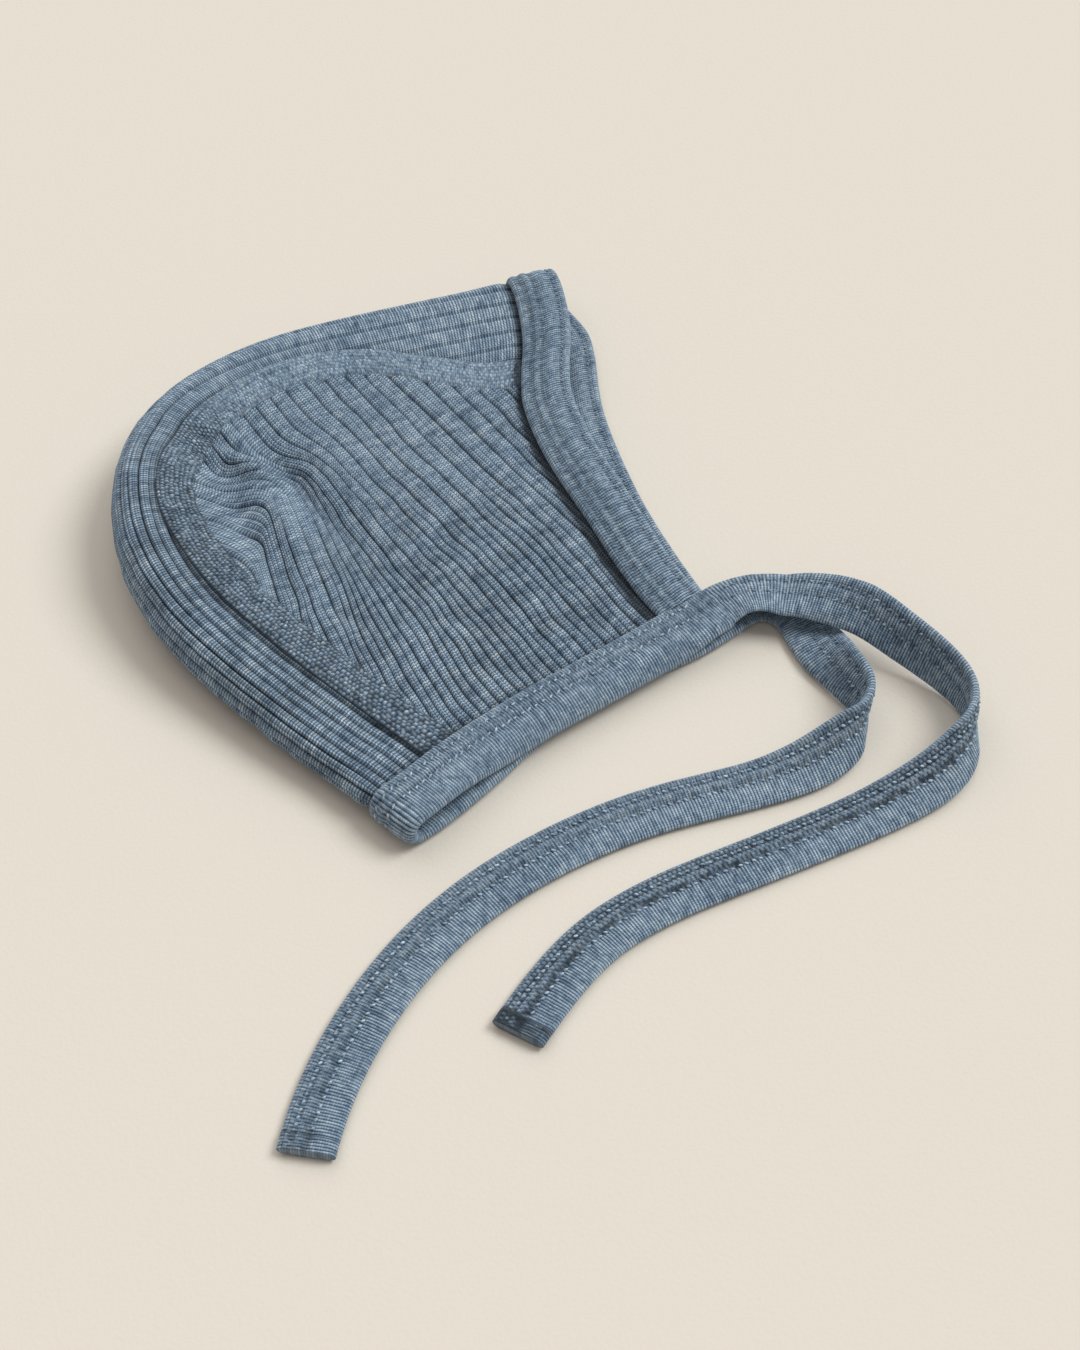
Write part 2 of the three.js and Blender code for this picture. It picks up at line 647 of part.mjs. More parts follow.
addPiece('centre_panel', centrePanel(), COLOURS.centre);
addPiece('side_panel_right', sidePanel(UPPER), COLOURS.side);
addPiece('side_panel_left', sidePanel(LOWER), COLOURS.side);
addPiece('seam_band_right', seamBand(UPPER), COLOURS.seam);
addPiece('seam_band_left', seamBand(LOWER), COLOURS.seam);
addPiece('face_binding', faceBinding(), COLOURS.face);
addPiece('neck_binding', neckBinding(), COLOURS.neck);
addPiece('tie_right', tieSolid(UPPER, RIGHT_TIE_ROWS, RIGHT_TIE_LENGTH), COLOURS.tie);
addPiece('tie_left', tieSolid(LOWER, LEFT_TIE_ROWS, LEFT_TIE_LENGTH), COLOURS.tie);

export default group;
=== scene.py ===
# %% [markdown]
# # A baby bonnet in rib knit
# The bonnet lies flat on its side. Its cloth is a rib knit in heathered blue-grey wool: a centre
# panel bends round the head from the forehead to the nape, two side panels meet it in wide flat
# seams, and folded bands bind the face and neck edges. The neck band runs on as two ties.
#
# All shapes are worked out in millimetres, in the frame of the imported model, and become metres
# only when a mesh is made.

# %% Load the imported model
import math

import bmesh
import bpy
import numpy as np
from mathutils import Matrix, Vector


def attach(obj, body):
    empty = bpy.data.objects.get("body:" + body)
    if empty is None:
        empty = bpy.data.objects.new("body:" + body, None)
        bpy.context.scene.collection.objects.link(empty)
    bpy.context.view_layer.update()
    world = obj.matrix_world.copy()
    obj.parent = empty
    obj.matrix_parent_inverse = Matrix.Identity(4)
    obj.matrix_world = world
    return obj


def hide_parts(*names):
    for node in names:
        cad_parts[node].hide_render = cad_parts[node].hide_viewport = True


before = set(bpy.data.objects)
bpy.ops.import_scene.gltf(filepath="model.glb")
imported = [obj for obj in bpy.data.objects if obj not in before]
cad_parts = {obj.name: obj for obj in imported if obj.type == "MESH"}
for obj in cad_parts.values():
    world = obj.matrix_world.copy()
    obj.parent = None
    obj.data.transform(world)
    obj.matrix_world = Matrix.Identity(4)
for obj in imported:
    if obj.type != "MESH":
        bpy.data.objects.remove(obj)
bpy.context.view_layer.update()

print("packed nodes:", sorted(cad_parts))

# %% [markdown]
# ## The pattern's sizes
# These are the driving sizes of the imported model, said again because this script can't read its
# source. Everything that is drawn later is placed from them, so the cloth lies where the solids do.

# %% Sizes in millimetres
CLOTH = 1.4
BINDING_WALL = 1.0
BINDING_WIDTH = 14.0
SEAM_WIDTH = 10.0
FIT_GAP = 0.3
BONNET_DEPTH = 142.0
BONNET_HEIGHT = 170.0
CENTRE_HALF_WIDTH = 32.0
CROWN_LOFT = 22.0
SIDE_LOFT = 11.5
FOLD_REACH = 36.0
EDGE_REACH = 36.0
LAYER_GAP = 0.5
FOLD_ROUNDNESS = 0.9
BINDING_CLEARANCE = 2.0
DIP_LENGTH = 12.0
RIGHT_TIE_LENGTH = 226.0
LEFT_TIE_LENGTH = 247.0
TIE_WIDTH = 13.4
TIE_THICKNESS = 2.6
TIE_SETTLE_SHARE = 0.1
HEM_LENGTH = 4.0
END_REACH = 0.12
INSET_REACH = 0.3
NECK_TURN_SHARE = 0.45
BINDING_HALF = CLOTH / 2 + FIT_GAP + BINDING_WALL
EDGE_INSET = BINDING_WALL + FIT_GAP
NECK_DROOP = 2.2
NECK_DROOP_REACH = 5.5
NECK_DROOP_FROM = 0.12
NECK_DROOP_TO = 0.97
UPPER = 1
LOWER = -1

# %% [markdown]
# The curves come from short tables, read with a smooth cubic. A spline object could do the same, but
# a formula on whole arrays lets every later grid ask for thousands of places at once.

# %% Tables and how they are read
def table(columns, rows):
    """Names the columns of a list of rows, as one array for each name."""
    return dict(zip(columns.split(), np.array(rows, float).T))


def read_rows(rows, place, column, spots):
    """A smooth cubic between rows: it leaves each row with the slope of the chord of its neighbours."""
    where = rows[place]
    value = rows[column]
    last = len(where) - 1
    before = np.maximum(np.arange(last + 1) - 1, 0)
    after = np.minimum(np.arange(last + 1) + 1, last)
    slope = (value[after] - value[before]) / (where[after] - where[before])
    spot = np.clip(spots, where[0], where[last])
    i = np.clip(np.searchsorted(where, spot) - 1, 0, last - 1)
    span = where[i + 1] - where[i]
    t = (spot - where[i]) / span
    value_part = value[i] * (1 + 2 * t) * (1 - t) ** 2 + value[i + 1] * t * t * (3 - 2 * t)
    slope_part = slope[i] * t * (1 - t) ** 2 + slope[i + 1] * t * t * (t - 1)
    return value_part + span * slope_part


def smooth(value):
    """An S from 0 to 1: three squares less two cubes."""
    t = np.clip(value, 0, 1)
    return t * t * (3 - 2 * t)


def mix(start, end, share):
    return start + (end - start) * share


def unit(vectors):
    return vectors / np.linalg.norm(vectors, axis=-1, keepdims=True)


def uneven(x, y, seed):
    """Handmade unevenness from -1 to 1: random values on a lattice of whole numbers, joined by S curves."""
    lattice = np.random.default_rng(seed).uniform(-1, 1, (64, 64))
    i, j = np.floor(x).astype(int), np.floor(y).astype(int)
    s, t = smooth(x - i), smooth(y - j)
    near = mix(lattice[i % 64, j % 64], lattice[(i + 1) % 64, j % 64], s)
    far = mix(lattice[i % 64, (j + 1) % 64], lattice[(i + 1) % 64, (j + 1) % 64], s)
    return mix(near, far, t)


CROWN = table("x y loft seam", [
    (0.415, 0.569, 0.56, 0.95),
    (0.280, 0.571, 0.58, 0.97),
    (0.141, 0.574, 0.61, 0.76),
    (0.000, 0.575, 0.65, 0.50),
    (-0.141, 0.567, 0.72, 0.40),
    (-0.262, 0.543, 0.80, 0.40),
    (-0.371, 0.499, 0.90, 0.42),
    (-0.463, 0.435, 0.97, 0.41),
    (-0.527, 0.352, 1.00, 0.38),
    (-0.560, 0.258, 1.00, 0.37),
    (-0.567, 0.156, 0.95, 0.43),
    (-0.541, 0.040, 0.84, 0.48),
    (-0.483, -0.075, 0.70, 0.51),
    (-0.412, -0.186, 0.57, 0.52),
    (-0.333, -0.298, 0.46, 0.54),
    (-0.256, -0.405, 0.40, 0.56),
])
CHIN = np.array([0.413 * BONNET_DEPTH, -0.212 * BONNET_HEIGHT])
FACE_EDGE = table("along upper lower", [
    (0.00, 0.000, 0.000), (0.06, 0.002, -0.012), (0.14, 0.016, -0.028), (0.21, 0.036, -0.018),
    (0.29, 0.068, 0.004), (0.37, 0.090, 0.022), (0.50, 0.094, 0.034), (0.65, 0.080, 0.036),
    (0.80, 0.058, 0.024), (0.92, 0.028, 0.008), (1.00, 0.000, 0.000),
])
NECK_EDGE = table("along upper lower", [
    (0.00, 0.000, 0.000), (0.10, 0.010, 0.000), (0.25, 0.026, 0.016), (0.45, 0.030, 0.046),
    (0.70, 0.014, 0.036), (0.90, 0.002, 0.006), (1.00, 0.000, 0.000),
])
SOFT_FOLDS = table("x y turn long wide rise", [
    (-0.345, 0.300, -50, 0.10, 0.035, -0.15),
    (-0.285, 0.190, 96, 0.17, 0.034, 0.15),
    (-0.215, 0.240, 108, 0.16, 0.030, -0.13),
    (0.210, 0.170, 94, 0.25, 0.045, -0.05),
    (-0.335, 0.345, -35, 0.07, 0.014, -0.05),
    (-0.300, 0.290, -48, 0.09, 0.016, 0.04),
    (-0.350, 0.200, 100, 0.12, 0.028, -0.09),
    (-0.120, 0.150, 104, 0.20, 0.030, 0.035),
    (0.060, 0.250, 106, 0.18, 0.022, -0.03),
    (-0.250, 0.020, 108, 0.12, 0.020, -0.03),
    (0.080, -0.060, 108, 0.12, 0.018, 0.02),
])

CROWN["x"] *= BONNET_DEPTH
CROWN["y"] *= BONNET_HEIGHT
CROWN["loft"] *= CROWN_LOFT
CROWN["seam"] *= CENTRE_HALF_WIDTH
steps = np.hypot(np.diff(CROWN["x"]), np.diff(CROWN["y"]))
crown_length = steps.sum()
CROWN["along"] = np.concatenate([[0], np.cumsum(steps)]) / crown_length
print("fold from forehead to nape:", round(crown_length), "mm")

# %% [markdown]
# ## Where the cloth lies
# Seen from above, the bonnet is a fan: a curved fold at the back of the head, a face edge and a neck
# edge. Two layers of cloth lie on each other and are joined round the fold, which stands up in a
# soft C. The functions below give the middle of the cloth at any place of that plan.

# %% The plan of the folded bonnet
def crown_point(u):
    """The fold, seen from above, at a share u of its length."""
    return np.stack([read_rows(CROWN, "along", "x", u), read_rows(CROWN, "along", "y", u)], -1)


def crown_tangent(u):
    ahead = crown_point(np.minimum(1, u + 0.004))
    return unit(ahead - crown_point(np.maximum(0, u - 0.004)))


FOREHEAD = crown_point(np.array(0.0))
NAPE = crown_point(np.array(1.0))
face_line = unit(CHIN - FOREHEAD)
neck_line = unit(CHIN - NAPE)
face_length = np.linalg.norm(CHIN - FOREHEAD)
neck_length = np.linalg.norm(CHIN - NAPE)
neck_normal = np.array([-neck_line[1], neck_line[0]])
face_inward = crown_tangent(np.array(0.0))
nape_inward = -crown_tangent(np.array(1.0))
print("face edge", round(face_length), "mm, neck edge", round(neck_length), "mm")


def inward(u):
    """The way in from the fold: square to it, turned to the face and neck lines at its two ends."""
    tangent = crown_tangent(u)
    square = np.stack([-tangent[..., 1], tangent[..., 0]], -1)
    square = mix(square, face_line, (1 - smooth(u / END_REACH))[..., None])
    return unit(mix(square, neck_line, (1 - smooth((1 - u) / END_REACH))[..., None]))


def edge_inset(rows, length, side, distance):
    """How far a layer's edge lies inside its straight line. side may be an array of 1 and -1."""
    share = distance / length
    upper = read_rows(rows, "along", "upper", share)
    lower = read_rows(rows, "along", "lower", share)
    return np.where(np.asarray(side) > 0, upper, lower) * length


def face_plan(side, distance, across):
    """A place down the face line, at across millimetres in from the layer's edge."""
    inset = edge_inset(FACE_EDGE, face_length, side, distance) + across
    return FOREHEAD + face_line * distance[..., None] + face_inward * inset[..., None]


def neck_inward(distance):
    turn = smooth(distance / (neck_length * NECK_TURN_SHARE))[..., None]
    return unit(mix(nape_inward, neck_normal, turn))


def neck_plan(side, distance, across):
    inset = edge_inset(NECK_EDGE, neck_length, side, distance) + across
    return NAPE + neck_line * distance[..., None] + neck_inward(distance) * inset[..., None]


def crown_plan(side, u, distance):
    """A place in from the fold, drawn in at the two ends as the layer's own edges are."""
    face_share = 1 - smooth(u / INSET_REACH)
    neck_share = 1 - smooth((1 - u) / INSET_REACH)
    face_in = edge_inset(FACE_EDGE, face_length, side, distance) * face_share
    neck_in = edge_inset(NECK_EDGE, neck_length, side, distance) * neck_share
    place = crown_point(u) + inward(u) * distance[..., None]
    return place + face_inward * face_in[..., None] + neck_inward(distance) * neck_in[..., None]


def seam_outer(u):
    return read_rows(CROWN, "along", "seam", u)


def seam_inner(u):
    return seam_outer(u) + SEAM_WIDTH


# %% The height of the cloth over the table
fold_samples = crown_point(np.linspace(0, 1, 481))


def nearest_on_crown(plan):
    """The nearest place on the fold: the closest sample, then the foot on the chord round it."""
    flat = plan.reshape(-1, 2)
    best = np.empty(len(flat), int)
    for start in range(0, len(flat), 20000):
        part = flat[start:start + 20000]
        gaps = ((part[:, None, :] - fold_samples[None]) ** 2).sum(-1)
        best[start:start + 20000] = gaps.argmin(1)
    last = len(fold_samples) - 1
    first = np.maximum(best - 1, 0)
    final = np.minimum(best + 1, last)
    chord = fold_samples[final] - fold_samples[first]
    from_first = flat - fold_samples[first]
    share = np.clip((from_first * chord).sum(-1) / (chord ** 2).sum(-1), 0, 1)
    distance = np.linalg.norm(from_first - chord * share[:, None], axis=-1)
    u = mix(first, final, share) / last
    return u.reshape(plan.shape[:-1]), distance.reshape(plan.shape[:-1])


def fold_rise(plan):
    """The sum of long soft bumps, each exp(-a^2 - b^2) in lengths a along it and b across it."""
    rise = np.zeros(plan.shape[:-1])
    for x, y, turn, long, wide, high in zip(*SOFT_FOLDS.values()):
        dx = plan[..., 0] - x * BONNET_DEPTH
        dy = plan[..., 1] - y * BONNET_HEIGHT
        c, s = math.cos(math.radians(turn)), math.sin(math.radians(turn))
        lengthwise = (dx * c + dy * s) / (long * BONNET_DEPTH)
        crosswise = (dy * c - dx * s) / (wide * BONNET_DEPTH)
        rise += high * CROWN_LOFT * np.exp(-lengthwise ** 2 - crosswise ** 2)
    return rise


def lower_height(plan):
    """The lower layer's middle: on the table, and held up by the bindings at its edges."""
    from_neck = (plan - NAPE) @ neck_normal
    along_face = (plan - FOREHEAD) @ face_line
    inset = edge_inset(FACE_EDGE, face_length, LOWER, along_face)
    from_face = (plan - FOREHEAD) @ face_inward - inset
    clear = BINDING_WIDTH + BINDING_CLEARANCE
    bare = np.minimum(smooth((from_neck - clear) / DIP_LENGTH), smooth((from_face - clear) / DIP_LENGTH))
    return mix(BINDING_HALF, CLOTH / 2, bare)


def neck_droop(plan):
    """How far the upper neck edge hangs down over the lower one: most at the edge, and none further
    in than the reach. It sets in a little way from the nape and ends just before the chin."""
    share = (plan - NAPE) @ neck_line / neck_length
    inset = edge_inset(NECK_EDGE, neck_length, UPPER, share * neck_length) - EDGE_INSET
    from_edge = (plan - NAPE) @ neck_normal - inset
    between = smooth((share - NECK_DROOP_FROM) / 0.2) * smooth((NECK_DROOP_TO - share) / 0.15)
    return NECK_DROOP * between * smooth(1 - from_edge / NECK_DROOP_REACH)


def cloth_point(plan, side, distance=None):
    """The middle of the cloth. Near the fold both layers bend to its middle height in a quarter
    of an ellipse; away from it the upper layer rests at the side's loft."""
    u, near = nearest_on_crown(plan)
    loft = read_rows(CROWN, "along", "loft", u)
    low = lower_height(plan)
    from_neck = (plan - NAPE) @ neck_normal
    edge_height = 3 * BINDING_HALF + LAYER_GAP
    flat = mix(edge_height, SIDE_LOFT, smooth((from_neck - BINDING_WIDTH) / EDGE_REACH))
    high = mix(flat, loft, np.exp(-(near / FOLD_REACH) ** 2)) + fold_rise(plan) - neck_droop(plan)
    centre = (loft + low) / 2
    depth = FOLD_ROUNDNESS * (loft - centre)
    if distance is None:
        opened = np.ones(plan.shape[:-1])
    else:
        opened = np.sqrt(1 - (1 - np.clip(distance / depth, 0, 1)) ** 2)
    layer = np.where(np.asarray(side) > 0, high, low)
    return np.concatenate([plan, mix(centre, layer, opened)[..., None]], -1)


def fold_depth(u):
    """How deep the fold's curve reaches in from the fold."""
    return FOLD_ROUNDNESS * (read_rows(CROWN, "along", "loft", u) - lower_height(crown_point(u))) / 2


for share in (0.0, 0.5, 1.0):
    print("the fold's curve reaches in", round(float(fold_depth(np.array(share))), 1), "mm at", share)

# %% [markdown]
# ## Turning grids into meshes
# Every piece is a grid of points. A sheet of cloth is two grids, its outer and inner face, joined
# round the rim. A band or tie is an outline carried along a path and closed at both ends. Each
# vertex keeps its place on the flat cloth, in millimetres, as its UV: across the ribs first and
# along them second. The knit and the flecks of the yarn are drawn by that UV later.

# %% Faces, normals and area of a grid
def grid_faces(rows, columns, start=0, flip=False):
    """Quads of a grid whose points are numbered row by row."""
    i, j = np.meshgrid(np.arange(rows - 1), np.arange(columns - 1), indexing="ij")
    a = start + i * columns + j
    quad = np.stack([a, a + 1, a + columns + 1, a + columns], -1).reshape(-1, 4)
    return quad[:, ::-1] if flip else quad


def grid_normals(points):
    """Unit normals of a grid of points: the cross product of its two differences."""
    down = np.gradient(points, axis=0)
    over = np.gradient(points, axis=1)
    return unit(np.cross(over, down) + 1e-12)


def flat_area(flat):
    """The area of a flat grid: half the cross product of each quad's diagonals."""
    a = flat[1:, 1:] - flat[:-1, :-1]
    b = flat[1:, :-1] - flat[:-1, 1:]
    return np.abs(a[..., 0] * b[..., 1] - a[..., 1] * b[..., 0]).sum() / 2


# %% From points to a piece that rides on the model
def make_piece(name, points, faces, flat, shade_and_tone, material, node):
    """Puts millimetre points into a mesh in metres, with the flat cloth's places as UV. The vertex
    attribute darkens the wool by 0 to 1: painted shade between ribs and stitches and beside the
    bindings, and the darker tone of stitch threads and tie hems.
    Ribs that would sink into the table are pressed flat on it."""
    points = np.column_stack([points[:, :2], np.maximum(points[:, 2], 0.0)])
    mesh = bpy.data.meshes.new(name)
    mesh.from_pydata((points / 1000).tolist(), [], [face.tolist() for face in faces])
    layer = mesh.uv_layers.new(name="cloth")
    corner = np.empty(len(mesh.loops), int)
    mesh.loops.foreach_get("vertex_index", corner)
    layer.data.foreach_set("uv", flat[corner].ravel())
    mesh.polygons.foreach_set("use_smooth", np.ones(len(mesh.polygons), bool))
    # This attribute holds painted shade, and on threads and hems their darker tone.
    depth = mesh.attributes.new("shade_and_tone", "FLOAT", "POINT")
    depth.data.foreach_set("value", np.clip(np.broadcast_to(shade_and_tone, len(points)), 0, 1).astype(np.float32))
    mesh.validate()
    mesh.update()
    mesh.materials.append(material)
    piece = bpy.data.objects.new(name, mesh)
    bpy.context.collection.objects.link(piece)
    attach(piece, "root")
    if node:
        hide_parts(node)
    triangles = sum(len(face) - 2 for face in faces)
    print(name, "has", triangles, "triangles")
    return piece


# %% Sheets and tubes from grids
def sheet_mesh(outer, inner, flat):
    """Outer and inner grids joined round their rim: points, faces and flat places of a closed sheet."""
    rows, columns = outer.shape[:2]
    count = rows * columns
    points = np.concatenate([outer.reshape(-1, 3), inner.reshape(-1, 3)])
    faces = [*grid_faces(rows, columns), *grid_faces(rows, columns, count, flip=True)]
    index = np.arange(count).reshape(rows, columns)
    rim = np.concatenate([index[0], index[1:, -1], index[-1, -2::-1], index[-2::-1, 0]])
    a, b = rim[:-1], rim[1:]
    faces += [*np.stack([b, a, a + count, b + count], -1)]
    return points, faces, np.tile(flat.reshape(-1, 2), (2, 1))


def declare_sheet(piece, flat):
    """Says how large the cloth was cut: the size of its flat grid's box, and its own area."""
    size = np.ptp(flat.reshape(-1, 2), axis=0) / 1000
    area = float(flat_area(flat)) / 1e6
    area = min(area, float(size[0] * size[1]))
    print(piece.name, "is cut", *(size * 1000).round(), "mm, area", round(area * 1e4), "cm2")


def tube_mesh(rings, flat):
    """Rings of equal point count joined into a closed tube with flat ends."""
    rows, columns = rings.shape[:2]
    closed = np.concatenate([np.arange(columns), [0]])
    index = np.arange(rows * columns).reshape(rows, columns)[:, closed]
    quads = np.stack([index[:-1, :-1], index[:-1, 1:], index[1:, 1:], index[1:, :-1]], -1)
    faces = [*quads.reshape(-1, 4), index[0, :-1][::-1], index[-1, :-1]]
    return rings.reshape(-1, 3), faces, flat.reshape(-1, 2)


# %% [markdown]
# ## The yarn and its stitches
# The wool is heathered: light and dark fibres are blended before spinning, so the yarn changes shade
# every few millimetres, and since it runs across the ribs, the flecks lie in short rows across them.
# A picture of knitting would repeat, so the flecks are noise, stretched along the yarn, and each
# course of stitches reads its own stretch of it. The stitches are small Vs in the UV's millimetres.

# %% Shader helpers
class Nodes:
    """Adds shader nodes in few words. Every method returns an output socket."""

    def __init__(self, material):
        self.tree = material.node_tree

    def new(self, kind, **settings):
        node = self.tree.nodes.new(kind)
        for key, value in settings.items():
            setattr(node, key, value)
        return node

    def feed(self, socket, value):
        if isinstance(value, bpy.types.NodeSocket):
            self.tree.links.new(value, socket)
        else:
            socket.default_value = value

    def math(self, operation, a, b=0.0, c=0.0):
        node = self.new("ShaderNodeMath", operation=operation)
        for socket, value in zip(node.inputs, (a, b, c)):
            self.feed(socket, value)
        return node.outputs[0]

    def vector(self, x, y, z=0.0):
        node = self.new("ShaderNodeCombineXYZ")
        for socket, value in zip(node.inputs, (x, y, z)):
            self.feed(socket, value)
        return node.outputs[0]

    def noise(self, vector, detail=2.0, roughness=0.5):
        node = self.new("ShaderNodeTexNoise", noise_dimensions="3D")
        self.feed(node.inputs["Vector"], vector)
        node.inputs["Scale"].default_value = 1.0
        node.inputs["Detail"].default_value = detail
        node.inputs["Roughness"].default_value = roughness
        return node.outputs["Fac"]

    def ramp(self, factor, stops):
        """A colour ramp from stops, each a place from 0 to 1 and a colour."""
        node = self.new("ShaderNodeValToRGB")
        elements = node.color_ramp.elements
        while len(elements) < len(stops):
            elements.new(0.5)
        for element, (place, colour) in zip(elements, stops):
            element.position = place
            element.color = (*colour, 1)
        self.feed(node.inputs["Fac"], factor)
        return node.outputs["Color"]

    def multiply(self, colour, factor):
        node = self.new("ShaderNodeVectorMath", operation="SCALE")
        self.feed(node.inputs[0], colour)
        self.feed(node.inputs["Scale"], factor)
        return node.outputs[0]


def linear(red, green, blue):
    """A colour given in 0 to 255 on the screen's scale, in the shader's linear scale."""
    share = np.array([red, green, blue]) / 255
    low = share / 12.92
    high = ((share + 0.055) / 1.055) ** 2.4
    return tuple(float(x) for x in np.where(share <= 0.04045, low, high))


# %% The heathered knit
RIB_WIDTH = 5.45
WALES_PER_RIB = 4
WALE = RIB_WIDTH / WALES_PER_RIB
COURSE = 0.84
LEG_MARGIN = 0.05
ROW_SHIFT = 7.31
CLOUD_LONG = 30.0
CLOUD_TALL = 14.0
FLECK_SHARES = {"streak": 0.40, "patch": 0.45, "cloud": 0.15}
SEAM_STITCH = (0.57, 0.60)
BAND_WALE = 0.80
BAND_COURSE = 0.62
THREAD_STITCH = (0.9, 0.5)


def knit_material(name, wale, course, shade=1.0, stitch=0.00022, hole_shade=0.92, slant=0.30,
                  fleck_long=4.5, fleck_tall=1.9, furrow=0.82):
    """Wool knit. f is the distance from a wale's middle, from 0 to 1, and v counts courses. A stitch
    leg is sin(pi * fract(v + slant * f)) high along the wale and about sin(pi * f)^0.6 across it, so
    the legs lean together as a V. Where neither is high, the hole between them is painted with shade,
    as dark as the share given for holes says. The vertex attribute darkens the colour by the share
    furrow: painted shade in furrows and grooves, and a darker tone on threads and hems."""
    material = bpy.data.materials.new(name)
    material.use_nodes = True
    material.node_tree.nodes.clear()
    n = Nodes(material)
    uv = n.new("ShaderNodeUVMap", uv_map="cloth")
    split = n.new("ShaderNodeSeparateXYZ")
    n.feed(split.inputs[0], uv.outputs[0])
    across, along = split.outputs[0], split.outputs[1]
    wales = n.math("DIVIDE", across, wale)
    courses = n.math("DIVIDE", along, course)

    f = n.math("ABSOLUTE", n.math("SUBTRACT", n.math("MULTIPLY", n.math("FRACT", wales), 2.0), 1.0))
    leaning = n.math("MULTIPLY_ADD", f, slant, courses)
    leg_along = n.math("SINE", n.math("MULTIPLY", n.math("FRACT", leaning), math.pi))
    half_turn = n.math("MULTIPLY_ADD", f, (1 - 2 * LEG_MARGIN) * math.pi, LEG_MARGIN * math.pi)
    leg = n.math("MULTIPLY", leg_along, n.math("POWER", n.math("SINE", half_turn), 0.6))

    yarn = n.math("DIVIDE", across, fleck_long)
    row = n.math("MULTIPLY", n.math("FLOOR", leaning), ROW_SHIFT)
    streak = n.noise(n.vector(yarn, row, 2.0), 3.0, 0.6)
    patch = n.noise(n.vector(yarn, n.math("DIVIDE", along, fleck_tall), 5.0), 3.0, 0.6)
    wide = n.vector(n.math("DIVIDE", across, CLOUD_LONG), n.math("DIVIDE", along, CLOUD_TALL), 9.0)
    cloud = n.noise(wide, 2.0, 0.5)
    fleck = n.math("MULTIPLY", patch, FLECK_SHARES["patch"])
    fleck = n.math("MULTIPLY_ADD", streak, FLECK_SHARES["streak"], fleck)
    fleck = n.math("MULTIPLY_ADD", cloud, FLECK_SHARES["cloud"], fleck)
    colour = n.ramp(fleck, [
        (0.33, linear(94, 115, 138)),
        (0.43, linear(134, 158, 182)),
        (0.50, linear(163, 187, 209)),
        (0.58, linear(195, 215, 231)),
        (0.70, linear(226, 239, 248)),
    ])
    # Painted shade: dark holes between the stitch legs, and the attribute's shade in furrows and grooves.
    light = n.math("MULTIPLY_ADD", leg, hole_shade, 1.0 - hole_shade)
    shade_and_tone = n.new("ShaderNodeAttribute", attribute_name="shade_and_tone").outputs["Fac"]
    open_share = n.math("MULTIPLY_ADD", shade_and_tone, -furrow, 1.0)
    colour = n.multiply(colour, n.math("MULTIPLY", n.math("MULTIPLY", light, open_share), shade))

    fine = n.vector(n.math("MULTIPLY", across, 5.0), n.math("MULTIPLY", along, 9.0), 1.0)
    height = n.math("MULTIPLY_ADD", n.noise(fine, 3.0, 0.7), 0.5, leg)
    bump = n.new("ShaderNodeBump")
    bump.inputs["Strength"].default_value = 1.0
    bump.inputs["Distance"].default_value = stitch
    n.feed(bump.inputs["Height"], height)

    shader = n.new("ShaderNodeBsdfPrincipled")
    n.feed(shader.inputs["Base Color"], colour)
    n.feed(shader.inputs["Normal"], bump.outputs[0])
    shader.inputs["Roughness"].default_value = 0.92
    shader.inputs["Specular IOR Level"].default_value = 0.15
    shader.inputs["Sheen Weight"].default_value = 0.35
    shader.inputs["Sheen Roughness"].default_value = 0.5
    shader.inputs["Sheen Tint"].default_value = (*linear(190, 205, 220), 1)
    output = n.new("ShaderNodeOutputMaterial")
    n.feed(output.inputs["Surface"], shader.outputs[0])
    return material


# %% The three knits
rib_wool = knit_material("rib_wool", WALE, COURSE, shade=1.20, furrow=0.90)
seam_wool = knit_material("seam_wool", *SEAM_STITCH, shade=1.30, stitch=0.00015, hole_shade=0.25, slant=0.0,
                          fleck_long=2.2, fleck_tall=1.4, furrow=0.92)
band_wool = knit_material("band_wool", BAND_WALE, BAND_COURSE, shade=1.16, stitch=0.00012, hole_shade=0.32,
                          fleck_long=1.5, fleck_tall=3.6, furrow=0.90)
print("materials:", [m.name for m in (rib_wool, seam_wool, band_wool)])

# %% [markdown]
# ## Ribs
# Four wales of stitches make one rib of 5.45 mm: a deep furrow on each side, a shallower one down the
# middle, and faint ones between single wales. They catch the light more than any other detail, so
# they are real relief, and their furrows are also painted with shade.

# %% The relief of the ribs
WALE_FURROW = 0.34


def rib_relief(wales, middle, depth=0.95, swell=0.5):
    """Height over the cloth's middle face. Each wale is a dome |sin(pi w)|. Its furrow is deepest at
    the rib's edge, the share middle as deep in the rib's middle, and shallow between single wales.
    The whole rib swells as |sin(pi w / 4)|, and where middle is near 1 as |sin(pi w / 2)|."""
    edge = 0.5 + 0.5 * np.cos(np.pi * wales / 2)
    even = 0.5 + 0.5 * np.cos(np.pi * wales)
    furrow = WALE_FURROW + even * (mix(middle, 1.0, edge) - WALE_FURROW)
    dome = np.abs(np.sin(np.pi * wales)) ** 0.8
    whole = np.abs(np.sin(np.pi * wales / WALES_PER_RIB)) ** 0.6
    half = np.abs(np.sin(2 * np.pi * wales / WALES_PER_RIB)) ** 0.6
    return -depth * furrow * (1 - dome) - swell * (1 - mix(whole, half, smooth((middle - 0.45) / 0.6)))


def crinkle(across, along, seed):
    """Small rises and dips along a rib, each 3 to 6 mm long and a rib or two wide."""
    wide = uneven(across / 7.0, along / 5.5, seed)
    return 0.22 * wide + 0.14 * uneven(across / 3.0 + 9, along / 2.6, seed + 1)


sample = rib_relief(np.linspace(0, WALES_PER_RIB, 401), 0.6)
print("a rib is", RIB_WIDTH, "mm wide and", round(float(np.ptp(sample)), 2), "mm high")

# %% [markdown]
# ## Side panels
# A side panel is cut with its ribs square to the neck edge, so its grid has one column for each
# quarter of a wale. Every column runs from the edge it starts at, the seam, the neck or the face,
# up to the seam at the top. Near the back of the crown the cloth is eased into the seam, and there
# the ribs lean over.

